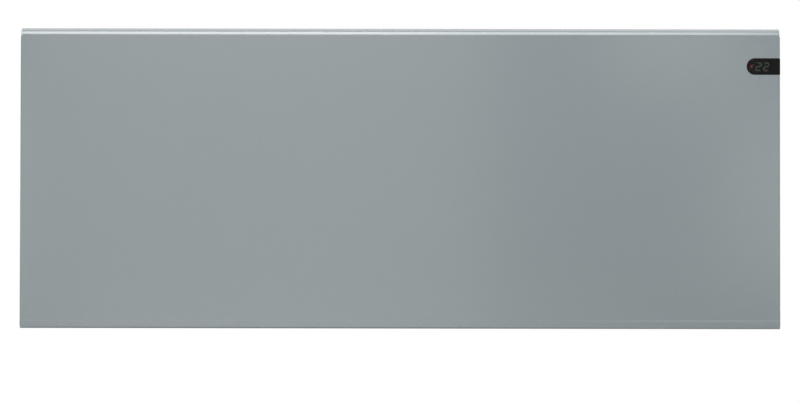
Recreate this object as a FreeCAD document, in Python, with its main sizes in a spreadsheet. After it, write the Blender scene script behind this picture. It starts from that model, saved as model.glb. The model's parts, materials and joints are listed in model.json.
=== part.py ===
import FreeCAD, Part
import math
import os
import re

import Sketcher

# An electric panel heater on its wall bracket, in millimetres.
# +X is to the right as seen from the room, +Y points into the wall, +Z is up.
# The origin lies on the wall, at the centre of the four wall screws.

SIZES = {
    # Casing
    "panel_width": 890,
    "panel_height": 352,
    "heater_depth": 64,
    "wall_gap": 20,
    "casing_sheet": 0.8,
    "fold_radius": 8,
    "foot_radius": 2.6,
    "side_radius": 1.5,
    "flange_depth": 26,
    "side_return": 14,
    "rear_flange": 14,
    "rear_bend": 2,
    "bead_height": 2,
    "bead_half_width": 7,
    "bead_level": 62,
    "bead_inset": 100,
    "fit_gap": 0.2,
    # Air grilles
    "grille_sheet": 1,
    "grille_lap": 8,
    "slot_width": 5,
    "slot_pitch": 10,
    "slot_end_margin": 4,
    "slot_side_margin": 14,
    # End caps
    "cap_wall": 2.4,
    "cap_rim_wall": 2,
    "cap_rim_depth": 10,
    "cap_round": 1.2,
    "cap_inner_round": 0.5,
    "boss_radius": 4,
    "boss_length": 12,
    "boss_level": 150,
    # Fasteners
    "rivet_radius": 1.6,
    "rivet_head_radius": 3.2,
    "rivet_head": 1.2,
    "screw_radius": 1.5,
    "screw_head_radius": 3.2,
    "screw_head": 1.1,
    "screw_length": 8,
    "screw_inset": 45,
    "inlet_screw_gap": 4,
    "rivet_edge": 4.2,
    "saddle_rivet_pitch": 10.4,
    "shield_rivet_inset": 20,
    "partition_rivet_reach": 123,
    "hole_clearance": 0.05,
    # Display window and its keys
    "lens_front": 39,
    "lens_side": 50,
    "lens_height": 19,
    "lens_drop": 44.5,
    "lens_wall": 2,
    "lens_proud": 0.2,
    "module_width": 20,
    "module_height": 14,
    "module_depth": 7,
    "module_inset": 10.5,
    "digit_height": 10.2,
    "digit_width": 6.6,
    "digit_pitch": 9,
    "segment_width": 1.3,
    "segment_relief": 0.15,
    "segment_gap": 0.25,
    "digit_slant": 0.1,
    "led_radius": 1.5,
    "led_inset": 33.2,
    "led_rim": 0.3,
    "led_foot": 1,
    "board_sheet": 1.6,
    "display_board_edge": 1,
    "button_board_edge": 3,
    "carrier_wall": 1.5,
    "carrier_ear": 4,
    "carrier_gap": 1,
    "key_radius": 4,
    "key_flange_radius": 5,
    "key_flange": 1.2,
    "key_stem_radius": 1.6,
    "key_stem": 0.7,
    "key_proud": 0.4,
    "key_travel": 0.7,
    "key_first": 15,
    "key_pitch": 11.5,
    "key_seat_gap": 0.3,
    "key_side_gap": 0.3,
    "switch_side": 6,
    "switch_body": 3,
    "switch_plunger": 0.5,
    "switch_plunger_radius": 1.75,
    # Mains switch
    "mains_setback": 34,
    "mains_rise": 66,
    "mains_body_width": 13,
    "mains_body_height": 19,
    "mains_body_depth": 18,
    "mains_bezel": 1.6,
    "mains_bezel_lip": 1,
    "mains_wall": 0.9,
    "mains_end_wall": 0.6,
    "mains_well": 9,
    "mains_blade": 8,
    "mains_blade_width": 4.8,
    "mains_blade_sheet": 0.8,
    "rocker_gap": 0.3,
    "rocker_end_gap": 0.7,
    "rocker_crown": 3.2,
    "rocker_dip": 1.8,
    "rocker_root": 3.5,
    "rocker_angle": 10,
    "rocker_pin_radius": 1.5,
    "rocker_sink": 2,
    # Heating element
    "control_bay": 80,
    "element_rise": 76,
    "element_setback": 34,
    "element_inset": 45,
    "fin_reach": 32,
    "fin_sheet": 1.8,
    "fin_angle": 55,
    "core_radius": 6.5,
    "rod_radius": 4,
    "rod_overhang": 14,
    "pin_radius": 1.75,
    "pin_length": 10,
    "collar_radius": 3.4,
    "collar_length": 4,
    "hanger_sheet": 1.2,
    "hanger_offset": 8,
    "hanger_half": 14,
    "hanger_foot": 14,
    "bush_radius": 7,
    "bush_flange_radius": 9,
    "bush_flange": 1.5,
    "bush_lip": 1,
    # Heat shield and thermal cut-out
    "shield_sheet": 0.6,
    "shield_gap": 12,
    "shield_top": 120,
    "shield_below": 45,
    "shield_foot": 12,
    "shield_margin": 6,
    "cutout_radius": 8,
    "cutout_height": 10,
    "cutout_level": 40,
    "cutout_ear": 13,
    "cutout_ear_sheet": 1,
    "cutout_ear_half": 4.2,
    "cutout_blade": 6,
    "cutout_blade_width": 6,
    "cutout_blade_sheet": 0.8,
    # Control bay
    "partition_sheet": 0.8,
    "partition_foot": 12,
    "partition_gap": 3,
    "grommet_radius": 5,
    "grommet_wall": 1.5,
    "grommet_lip": 1.5,
    "grommet_cheek": 2,
    "grommet_rise": 30,
    "grommet_setback": 4,
    "sensor_radius": 2.8,
    "sensor_neck": 2,
    "sensor_length": 14,
    "sensor_taper": 2,
    "sensor_tail": 3,
    "sensor_rise": 22,
    "sensor_forward": 8,
    "board_width": 56,
    "board_height": 110,
    "board_middle": -15,
    "board_margin": 6,
    "board_standoff": 12,
    "standoff_radius": 3,
    "snap_radius": 1.4,
    "snap_height": 2,
    "snap_barb": 0.5,
    "relay_width": 20,
    "relay_height": 16,
    "relay_depth": 15,
    "relay_rise": 18,
    "core_width": 22,
    "core_height": 18,
    "core_depth": 14,
    "core_drop": 12,
    "coil_inset": 3,
    "coil_overhang": 3,
    "capacitor_radius": 5,
    "capacitor_length": 20,
    "capacitor_crimp": 0.8,
    "capacitor_offset": 28,
    "block_half_width": 15,
    "block_height": 14,
    "block_depth": 18,
    "block_gap": 4,
    "block_pitch": 9.5,
    "block_well_radius": 2.5,
    "block_well_depth": 7,
    "earth_offset": 12,
    "earth_rise": 8,
    # Cord inlet
    "inlet_half_width": 20,
    "inlet_height": 38,
    "inlet_depth": 30,
    "inlet_wall": 2,
    "inlet_setback": 32,
    "gland_setback": 16,
    "gland_radius": 9,
    "gland_thread": 6,
    "gland_bore": 3.6,
    "gland_below": 12,
    "gland_above": 12,
    "gland_nut": 5,
    # Wiring
    "wire_radius": 1.2,
    # Wall bracket
    "arm_spacing": 480,
    "arm_width": 30,
    "arm_depth": 16,
    "arm_sheet": 1.5,
    "arm_bend": 2.5,
    "wall_hole_spacing": 200,
    "wall_hole": 6,
    "crossbar_height": 22,
    "crossbar_level": 60,
    "crossbar_tab": 12,
    "pivot_from_wall": 12,
    "pivot_rise": 30,
    "pivot_pin": 3,
    "pivot_clearance": 0.08,
    "pivot_lug": 8,
    "pivot_head": 4.5,
    "pivot_head_depth": 1.2,
    "saddle_sheet": 2,
    "saddle_width": 22,
    "saddle_tail": 6,
    "saddle_web": 14,
    "saddle_base": 38,
    "keeper_sheet": 1.5,
    "keeper_half": 11,
    "keeper_base": 17,
    "keeper_cheek": 6,
    "catch_from_wall": 10,
    "catch_drop": 26,
    "catch_pin": 2.5,
    "catch_lug": 15,
    "spring_sheet": 0.6,
    "spring_half_width": 7,
    "spring_seat_gap": 0.2,
    "spring_grip": 0.5,
    "spring_flare": 1.6,
    "pad_length": 24,
    "pad_wall": 2,
    "pad_bite": 6,
    "pad_level": 112,
}

doc = FreeCAD.newDocument("panel_heater")
dims = doc.addObject("Spreadsheet::Sheet", "Dims")
for row, (alias, size) in enumerate(SIZES.items(), start=1):
    dims.set(f"A{row}", alias)
    dims.set(f"B{row}", str(size))
    dims.setAlias(f"B{row}", alias)
doc.recompute()

ALIASES = re.compile(r"\b(" + "|".join(SIZES) + r")\b")
SUBPARTS = []

# Places that several pieces share, as expressions of the sizes
HALF_WIDTH = "(panel_width / 2)"
HALF_HEIGHT = "(panel_height / 2)"
REAR = "(-wall_gap)"
REAR_IN = "(-wall_gap - casing_sheet)"
FRONT = "(-wall_gap - heater_depth)"
FRONT_IN = "(-wall_gap - heater_depth + casing_sheet)"
FLANGE_EDGE = "(-wall_gap - heater_depth + flange_depth)"
REAR_FLANGE_EDGE = "(-wall_gap - rear_flange)"
CAP_FRONT = f"({FRONT_IN} + fit_gap)"
CAP_TOP = f"({HALF_HEIGHT} - casing_sheet - fit_gap)"
CAP_IN = f"({HALF_WIDTH} - cap_wall)"
RIM_IN = f"({CAP_IN} - cap_rim_depth)"
RIM_TOP = f"({HALF_HEIGHT} - casing_sheet - grille_sheet - fit_gap)"
RIM_REAR = f"({REAR_IN} - fit_gap)"
BOSS_X = f"({CAP_IN} - cap_rim_depth / 2)"
GRILLE_FACE = f"({HALF_HEIGHT} - casing_sheet)"
GRILLE_BACK = f"({HALF_HEIGHT} - casing_sheet - grille_sheet)"
GRILLE_END = f"({RIM_IN} - fit_gap)"
GRILLE_FRONT = f"({FLANGE_EDGE} - grille_lap)"
GRILLE_REAR = f"({REAR_FLANGE_EDGE} + grille_lap)"
SCREW_LINE = f"({REAR_FLANGE_EDGE} + grille_lap / 2)"
BAY = f"({HALF_WIDTH} - control_bay)"
BAY_IN = f"({BAY} + partition_sheet)"
LENS_Z = f"({HALF_HEIGHT} - lens_drop)"
LENS_FACE = f"({FRONT} - lens_proud)"
LENS_BACK = f"({LENS_FACE} + lens_wall)"
LENS_SIDE_FACE = f"({HALF_WIDTH} + lens_proud)"
LENS_SIDE_BACK = f"({LENS_SIDE_FACE} - lens_wall)"
LENS_END = f"({HALF_WIDTH} - lens_front + lens_height / 2)"
LENS_TAIL = f"({FRONT} + lens_side - lens_height / 2)"
MODULE_FACE = f"({LENS_BACK} + segment_relief + fit_gap)"
MODULE_BACK = f"({MODULE_FACE} + module_depth)"
MODULE_RIGHT = f"({HALF_WIDTH} - module_inset)"
MODULE_LEFT = f"({MODULE_RIGHT} - module_width)"
DISPLAY_BOARD_BACK = f"({MODULE_BACK} + board_sheet)"
KEY_FLANGE_OUT = f"({LENS_SIDE_BACK} - key_seat_gap)"
KEY_FLANGE_IN = f"({KEY_FLANGE_OUT} - key_flange)"
KEY_STEM_END = f"({KEY_FLANGE_IN} - key_stem)"
PLUNGER_TIP = f"({KEY_STEM_END} - key_travel - fit_gap / 2)"
SWITCH_TOP = f"({PLUNGER_TIP} - switch_plunger)"
BUTTON_BOARD_FACE = f"({SWITCH_TOP} - switch_body)"
BUTTON_BOARD_BACK = f"({BUTTON_BOARD_FACE} - board_sheet)"
KEY_LINES = [f"({FRONT} + key_first + {number} * key_pitch)" for number in range(3)]
MAINS_Y = f"({FRONT} + mains_setback)"
MAINS_Z = f"(-{HALF_HEIGHT} + mains_rise)"
ELEMENT_Y = f"({REAR} - element_setback)"
ELEMENT_Z = f"(-{HALF_HEIGHT} + element_rise)"
ELEMENT_LEFT = f"(-{HALF_WIDTH} + element_inset)"
ELEMENT_RIGHT = f"({BAY} - element_inset + rod_overhang)"
SHIELD_FACE = f"({REAR_IN} - shield_gap)"
SHIELD_LOW = f"({ELEMENT_Z} - shield_below)"
SHIELD_LEFT = f"({ELEMENT_LEFT} + shield_margin)"
SHIELD_RIGHT = f"({ELEMENT_RIGHT} - shield_margin)"
BOARD_BACK = f"({REAR_IN} - board_standoff)"
BOARD_FACE = f"({BOARD_BACK} - board_sheet)"
BOARD_LEFT = f"({BAY_IN} + board_margin / 2)"
PIECES_LEFT = f"({BOARD_LEFT} + 2 * board_margin)"
RELAY_Z = "(board_middle + relay_rise + relay_height / 2)"
RELAY_FACE = f"({BOARD_FACE} - relay_depth)"
GROMMET_PLACE = (f"({ELEMENT_Y} + grommet_setback)", f"({ELEMENT_Z} + grommet_rise)")
INLET_X = f"({RIM_IN} - inlet_setback)"
INLET_TOP = f"(-{HALF_HEIGHT} + inlet_height)"
GLAND_Y = f"({REAR} - gland_setback)"
BLOCK_LOW = f"({INLET_TOP} + gland_above + block_gap)"
BLADE_TIP = f"({SHIELD_FACE} - cutout_height - cutout_blade)"
PIVOT_Y = "(-pivot_from_wall)"
PIVOT_Z = f"(-{HALF_HEIGHT} + pivot_rise)"
CATCH_Y = "(-catch_from_wall)"
CATCH_Z = f"({HALF_HEIGHT} - catch_drop)"
ARM_LOW = f"({PIVOT_Z} - pivot_lug)"
ARM_HIGH = f"({CATCH_Z} + catch_lug)"
OVERCUT = "1"
RIVET_HOLE = "(rivet_radius + hole_clearance)"
SCREW_HOLE = "(screw_radius + hole_clearance)"
SNAP_HOLE = "(snap_radius + hole_clearance)"
SIDES = {"left": -1, "right": 1}


# Helpers that tie objects to the sheet
def value(expression):
    return float(dims.evalExpression(str(expression)))


def bind(item, target, expression):
    item.setExpression(target, ALIASES.sub(r"Dims.\1", str(expression)))


def between(side, low, high):
    """A span along X, mirrored to the left side where side is -1."""
    return (low, high) if side > 0 else (f"-({high})", f"-({low})")


def around(middle, half):
    return f"({middle}) - ({half})", f"({middle}) + ({half})"


def finish(item, label):
    item.Label = label
    SUBPARTS.append(item)
    return item


# Sketch outlines: each is a kind and the expressions that fix it
def polygon(*corners):
    return ("polygon", corners)


def rectangle(u, v):
    return polygon((u[0], v[0]), (u[1], v[0]), (u[1], v[1]), (u[0], v[1]))


def circle(u, v, radius):
    return ("circle", (u, v, radius))


def stadium(u, v, half, upright=False):
    """A slot whose end centres span u at level v, or span v at u where it is upright."""
    return ("stadium", (u, v, half, upright))


def tray(u, v, foot_radius, top_radius):
    """A rectangle whose two corners at the low end of u are rounded."""
    return ("tray", (u, v, foot_radius, top_radius))


def pin_point(item, index, point, u, v):
    across = item.addConstraint(Sketcher.Constraint("DistanceX", -1, 1, index, point, value(u)))
    bind(item, f"Constraints[{across}]", u)
    up = item.addConstraint(Sketcher.Constraint("DistanceY", -1, 1, index, point, value(v)))
    bind(item, f"Constraints[{up}]", v)


def draw_polygon(item, corners):
    points = [FreeCAD.Vector(value(u), value(v), 0) for u, v in corners]
    first = item.GeometryCount
    count = len(points)
    for number in range(count):
        item.addGeometry(Part.LineSegment(points[number], points[(number + 1) % count]))
    for number, (u, v) in enumerate(corners):
        following = first + (number + 1) % count
        item.addConstraint(Sketcher.Constraint("Coincident", first + number, 2, following, 1))
        pin_point(item, first + number, 1, u, v)


def draw_circle(item, shape):
    u, v, radius = shape
    middle = FreeCAD.Vector(value(u), value(v), 0)
    index = item.addGeometry(Part.Circle(middle, FreeCAD.Vector(0, 0, 1), value(radius)))
    pin_point(item, index, 3, u, v)
    size = item.addConstraint(Sketcher.Constraint("Radius", index, value(radius)))
    bind(item, f"Constraints[{size}]", radius)


def draw_stadium(item, shape):
    u, v, half, upright = shape
    low, high = (v if upright else u)
    first = item.GeometryCount
    if upright:
        corners = [(f"({u}) + ({half})", low), (f"({u}) + ({half})", high),
                   (f"({u}) - ({half})", high), (f"({u}) - ({half})", low)]
        centres = [(u, high), (u, low)]
    else:
        corners = [(low, f"({v}) - ({half})"), (high, f"({v}) - ({half})"),
                   (high, f"({v}) + ({half})"), (low, f"({v}) + ({half})")]
        centres = [(high, v), (low, v)]
    points = [FreeCAD.Vector(value(a), value(b), 0) for a, b in corners]
    turn = 0 if upright else -math.pi / 2
    axis = FreeCAD.Vector(0, 0, 1)
    for number, (a, b) in enumerate(centres):
        item.addGeometry(Part.LineSegment(points[2 * number], points[2 * number + 1]))
        ring = Part.Circle(FreeCAD.Vector(value(a), value(b), 0), axis, value(half))
        start = turn + math.pi * number
        item.addGeometry(Part.ArcOfCircle(ring, start, start + math.pi))
    for number, (a, b) in enumerate(centres):
        line, arc = first + 2 * number, first + 2 * number + 1
        after = first + (2 * number + 2) % 4
        item.addConstraint(Sketcher.Constraint("Coincident", line, 2, arc, 1))
        item.addConstraint(Sketcher.Constraint("Coincident", arc, 2, after, 1))
        pin_point(item, line, 1, *corners[2 * number])
        pin_point(item, line, 2, *corners[2 * number + 1])
        kind, place = ("DistanceY", b) if upright else ("DistanceX", a)
        centre = item.addConstraint(Sketcher.Constraint(kind, -1, 1, arc, 3, value(place)))
        bind(item, f"Constraints[{centre}]", place)


def draw_tray(item, shape):
    (front, rear), (low, high), foot_radius, top_radius = shape
    foot_inset, top_inset = f"({front}) + ({foot_radius})", f"({front}) + ({top_radius})"
    corners = [(foot_inset, low), (rear, low), (rear, high), (top_inset, high),
               (front, f"({high}) - ({top_radius})"), (front, f"({low}) + ({foot_radius})")]
    points = [FreeCAD.Vector(value(a), value(b), 0) for a, b in corners]
    first = item.GeometryCount
    axis = FreeCAD.Vector(0, 0, 1)
    count = len(points)
    arcs = {3: (top_inset, corners[4][1], top_radius, math.pi / 2),
            5: (foot_inset, corners[5][1], foot_radius, math.pi)}
    for number in range(count):
        if number in arcs:
            inset, level, radius, start = arcs[number]
            ring = Part.Circle(FreeCAD.Vector(value(inset), value(level), 0), axis, value(radius))
            item.addGeometry(Part.ArcOfCircle(ring, start, start + math.pi / 2))
        else:
            item.addGeometry(Part.LineSegment(points[number], points[(number + 1) % count]))
    for number, (a, b) in enumerate(corners):
        following = first + (number + 1) % count
        item.addConstraint(Sketcher.Constraint("Coincident", first + number, 2, following, 1))
        pin_point(item, first + number, 1, a, b)
    for number, (inset, *_) in arcs.items():
        middle = item.addConstraint(
            Sketcher.Constraint("DistanceX", -1, 1, first + number, 3, value(inset)))
        bind(item, f"Constraints[{middle}]", inset)


DRAW = {"polygon": draw_polygon, "circle": draw_circle, "stadium": draw_stadium, "tray": draw_tray}


# PartDesign helpers
def new_body(label):
    return finish(doc.addObject("PartDesign::Body", label), label)


def sketch(body, name, plane, offset, outlines):
    item = body.newObject("Sketcher::SketchObject", name)
    support = next(f for f in body.Origin.OriginFeatures if f.Role == plane + "_Plane")
    item.AttachmentSupport = [(support, "")]
    item.MapMode = "FlatFace"
    for axis, expression in zip("xyz", offset):
        bind(item, f"AttachmentOffset.Base.{axis}", expression)
    for kind, shape in outlines:
        DRAW[kind](item, shape)
    return item


def along_normal(plane, place):
    """The sketch offset that puts a plane at a place: the normal of XZ points along -Y."""
    return ("0", "0", f"-({place})" if plane == "XZ" else place)


def pad(body, name, plane, span, *outlines):
    low, high = span
    start = high if plane == "XZ" else low
    profile = sketch(body, name + "_outline", plane, along_normal(plane, start), outlines)
    item = body.newObject("PartDesign::Pad", name)
    item.Profile = profile
    bind(item, "Length", f"({high}) - ({low})")
    return item


def pocket(body, name, plane, span, *outlines):
    low, high = span
    start = low if plane == "XZ" else high
    profile = sketch(body, name + "_outline", plane, along_normal(plane, start), outlines)
    item = body.newObject("PartDesign::Pocket", name)
    item.Profile = profile
    bind(item, "Length", f"({high}) - ({low})")
    return item


def turned(body, name, axis, centre, profile):
    """A revolved piece: profile lists (place along the axis, radius)."""
    first, second = centre
    if axis == "X":
        plane, offset, reference = "XY", ("0", first, second), "H_Axis"
        corners = list(profile)
    else:
        corners = [(radius, place) for place, radius in profile]
        reference = "V_Axis"
        plane = "XY" if axis == "Y" else "XZ"
        offset = (first, "0", second) if axis == "Y" else (first, "0", f"-({second})")
    outline = sketch(body, name + "_outline", plane, offset, [polygon(*corners)])
    item = body.newObject("PartDesign::Revolution", name)
    item.Profile = outline
    item.ReferenceAxis = (outline, [reference])
    item.Angle = 360
    return item


def straight_along(axis, **places):
    """Picks straight edges parallel to an axis, at the given places on the other axes."""
    wanted = {name: [value(p) for p in options] for name, options in places.items()}
    direction = FreeCAD.Vector(*(1 if axis == name else 0 for name in "XYZ"))

    def fits(edge):
        if not isinstance(edge.Curve, Part.Line):
            return False
        if abs(abs(edge.Curve.Direction.dot(direction)) - 1) > 1e-6:
            return False
        middle = edge.CenterOfMass
        return all(
            any(abs(getattr(middle, name) - place) < 1e-4 for place in options)
            for name, options in wanted.items()
        )

    return fits


def round_edges(body, name, radius, fits):
    doc.recompute()
    base = body.Tip
    names = [f"Edge{n}" for n, edge in enumerate(base.Shape.Edges, start=1) if fits(edge)]
    item = body.newObject("PartDesign::Fillet", name)
    item.Base = (base, names)
    bind(item, "Radius", radius)
    return item


# Part helpers
def box(name, x, y, z):
    item = doc.addObject("Part::Box", name)
    for size, axis, (low, high) in zip(("Length", "Width", "Height"), "xyz", (x, y, z)):
        bind(item, size, f"({high}) - ({low})")
        bind(item, f"Placement.Base.{axis}", low)
    return item


TURNS = {
    "X": FreeCAD.Rotation(FreeCAD.Vector(0, 1, 0), 90),
    "Y": FreeCAD.Rotation(FreeCAD.Vector(1, 0, 0), -90),
    "Z": FreeCAD.Rotation(),
}


def rod(name, axis, span, centre, radius):
    """A cylinder along an axis: centre gives its places on the other two, in X, Y, Z order."""
    item = doc.addObject("Part::Cylinder", name)
    item.Placement = FreeCAD.Placement(FreeCAD.Vector(), TURNS[axis])
    low, high = span
    places = list(centre)
    places.insert("XYZ".index(axis), low)
    for letter, place in zip("xyz", places):
        bind(item, f"Placement.Base.{letter}", place)
    bind(item, "Radius", radius)
    bind(item, "Height", f"({high}) - ({low})")
    return item


def fuse(name, *shapes):
    item = doc.addObject("Part::MultiFuse", name)
    item.Shapes = list(shapes)
    item.Refine = True
    return item


def cut(name, base, *tools):
    item = doc.addObject("Part::Cut", name)
    item.Base = base
    item.Tool = tools[0] if len(tools) == 1 else fuse(name + "_tools", *tools)
    item.Refine = True
    return item


def group(label, members):
    item = doc.addObject("Part::Compound", label)
    item.Links = list(members)
    return finish(item, label)


def copies(name, master, axes, places):
    """Links to one master, each moved along the named axes by a row of expressions."""
    links = []
    for number, row in enumerate(places):
        link = doc.addObject("App::Link", f"{name}_{number}")
        link.LinkedObject = master
        for axis, place in zip(axes, row):
            bind(link, f"Placement.Base.{axis}", place)
        links.append(link)
    return links


def rivets(name, axis, span, places, flush=False):
    """Rivets through a stack: the domed head is on the high side, unless that side is flush."""
    low, high = span
    head = [
        (high, "rivet_head_radius"),
        (f"({high}) + rivet_head * 0.4", "rivet_head_radius * 0.95"),
        (f"({high}) + rivet_head * 0.85", "rivet_head_radius * 0.6"),
        (f"({high}) + rivet_head", "0"),
    ]
    master = doc.addObject("PartDesign::Body", name + "_master")
    turned(master, name + "_turned", axis, ("0", "0"), [
        (f"({low}) - rivet_head", "0"),
        (f"({low}) - rivet_head", "rivet_head_radius * 0.5"),
        (f"({low}) - rivet_head * 0.5", "rivet_head_radius * 0.8"),
        (low, "rivet_head_radius * 0.8"),
        (low, "rivet_radius"),
        (high, "rivet_radius"),
        *([(high, "0")] if flush else head),
    ])
    axes = [letter for letter in "xyz" if letter != axis.lower()]
    return copies(name, master, axes, places)


def screws(name, axis, seat, outward, places):
    """Pan-head screws whose heads sit on a seat and point outward along the axis."""
    master = doc.addObject("PartDesign::Body", name + "_master")
    turned(master, name + "_turned", axis, ("0", "0"), [
        (f"({seat}) - {outward} * screw_length", "0"),
        (f"({seat}) - {outward} * screw_length", "screw_radius * 0.5"),
        (f"({seat}) - {outward} * (screw_length - screw_radius)", "screw_radius"),
        (seat, "screw_radius"),
        (seat, "screw_head_radius"),
        (f"({seat}) + {outward} * screw_head * 0.6", "screw_head_radius"),
        (f"({seat}) + {outward} * screw_head", "screw_head_radius * 0.75"),
        (f"({seat}) + {outward} * screw_head", "0"),
    ])
    axes = [letter for letter in "xyz" if letter != axis.lower()]
    return copies(name, master, axes, places)


def tube(label, radius, points):
    """A wire along straight runs, with a tangent arc at every corner of its route."""
    corners = [FreeCAD.Vector(*(value(place) for place in point)) for point in points]
    edges = []
    start = corners[0]
    for before, corner, after in zip(corners, corners[1:], corners[2:]):
        into, out = (corner - before), (after - corner)
        half_turn = into.getAngle(out) / 2
        set_back = 0.45 * min(into.Length, out.Length)
        arc_start = corner - into.normalize() * set_back
        arc_end = corner + out.normalize() * set_back
        inward = (arc_start + arc_end) * 0.5 - corner
        reach = set_back * (1 / math.cos(half_turn) - 1) / math.tan(half_turn)
        middle = corner + inward.normalize() * reach
        edges.append(Part.LineSegment(start, arc_start).toShape())
        edges.append(Part.Arc(arc_start, middle, arc_end).toShape())
        start = arc_end
    edges.append(Part.LineSegment(start, corners[-1]).toShape())
    path = Part.Wire(edges)
    heading = corners[1] - corners[0]
    ring = Part.Wire(Part.makeCircle(value(radius), corners[0], heading))
    item = doc.addObject("Part::Feature", label)
    item.Shape = path.makePipeShell([ring], True, False)
    return finish(item, label)


# Places of the fasteners, as rows of expressions
ARM_CENTRES = {name: f"({side} * arm_spacing / 2)" for name, side in SIDES.items()}
SADDLE_RIVETS = [
    (centre, f"{PIVOT_Z} + saddle_web + {step} * saddle_rivet_pitch")
    for centre in ARM_CENTRES.values() for step in (0.6, 1.6)
]
KEEPER_RIVETS = [
    (centre, f"{CATCH_Z} + {step} * (keeper_base - rivet_edge)")
    for centre in ARM_CENTRES.values() for step in (-1, 1)
]
SHIELD_MIDDLE = f"(({SHIELD_LEFT} + {SHIELD_RIGHT}) / 2)"
SHIELD_REACH = f"(({SHIELD_RIGHT} - {SHIELD_LEFT}) / 2 - shield_rivet_inset)"
SHIELD_RIVETS = [
    (f"{SHIELD_MIDDLE} + {step} * {SHIELD_REACH}", level)
    for step in (-1, 0, 1)
    for level in (f"({SHIELD_LOW} - shield_foot / 2)", "(shield_top + shield_foot / 2)")
]
HANGERS = [
    (f"({ELEMENT_LEFT} - hanger_offset)", -1),
    (f"({ELEMENT_RIGHT} + hanger_offset)", 1),
]
HANGER_RIVETS = [
    (f"{place} - {side} * hanger_foot / 2", f"{ELEMENT_Z} + {step} * hanger_half / 2")
    for place, side in HANGERS for step in (-1, 1)
]
PARTITION_RIVETS = [
    (f"{BAY} - partition_foot / 2", f"{step} * partition_rivet_reach") for step in (-1, 0, 1)
]
CAP_SCREWS = [
    (f"{side} * {BOSS_X}", f"{step} * boss_level") for side in (-1, 1) for step in (-1, 1)
]
SCREW_REACH = f"({HALF_WIDTH} - screw_inset)"
TOP_SCREWS = [f"{step} * {SCREW_REACH}" for step in (-1, -0.5, 0, 0.5, 1)]
LOW_SCREWS = TOP_SCREWS[:4] + [f"{BAY_IN} + screw_head_radius + inlet_screw_gap"]
EARTH_PLACE = (f"({BAY_IN} + earth_offset)", f"({INLET_TOP} + earth_rise)")
STANDOFFS = [
    (f"{BOARD_LEFT} + {x}", f"board_middle + {step} * (board_height / 2 - board_margin)")
    for x in ("board_margin", "board_width - board_margin") for step in (-1, 1)
]


def holes(places, radius):
    return [circle(u, v, radius) for u, v in places]


# The painted front panel: a folded tray with a window notch at its right edge
def make_front_panel():
    body = new_body("front_panel")
    pad(body, "front_blank", "XZ", (FRONT, FLANGE_EDGE),
        rectangle(around("0", HALF_WIDTH), around("0", HALF_HEIGHT)))
    inner = f"{HALF_HEIGHT} - casing_sheet"
    pocket(body, "front_hollow", "XZ", (FRONT_IN, FLANGE_EDGE),
           rectangle(around("0", f"{HALF_WIDTH} - casing_sheet"), around("0", inner)))
    for name, sign, radius in (("top", "", "fold_radius"), ("foot", "-", "foot_radius")):
        round_edges(body, f"front_inner_{name}", f"{radius} - casing_sheet",
                    straight_along("X", y=[FRONT_IN], z=[f"{sign}({inner})"]))
        round_edges(body, f"front_{name}_fold", radius,
                    straight_along("X", y=[FRONT], z=[f"{sign}{HALF_HEIGHT}"]))
    edges = [HALF_WIDTH, f"-{HALF_WIDTH}"]
    round_edges(body, "front_side_bends", "side_radius", straight_along("Z", x=edges, y=[FRONT]))
    ends = [between(side, f"{HALF_WIDTH} - side_radius", f"{HALF_WIDTH} + {OVERCUT}")
            for side in SIDES.values()]
    tall = around("0", f"{HALF_HEIGHT} + {OVERCUT}")
    pocket(body, "front_side_trim", "XZ",
           (f"{FRONT} + side_return", f"{FLANGE_EDGE} + {OVERCUT}"),
           *[rectangle(end, tall) for end in ends])
    top = (f"{HALF_HEIGHT} - fold_radius", f"{HALF_HEIGHT} + {OVERCUT}")
    foot = (f"-({top[1]})", f"-({HALF_HEIGHT} - foot_radius)")
    through = (f"{FRONT} - {OVERCUT}", f"{FLANGE_EDGE} + {OVERCUT}")
    pocket(body, "front_corner_notches", "XZ", through,
           *[rectangle(end, level) for end in ends for level in (top, foot)])
    pocket(body, "front_window", "XZ", through,
           stadium((LENS_END, f"{HALF_WIDTH} + lens_height"), LENS_Z, "lens_height / 2 + fit_gap"))


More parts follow.
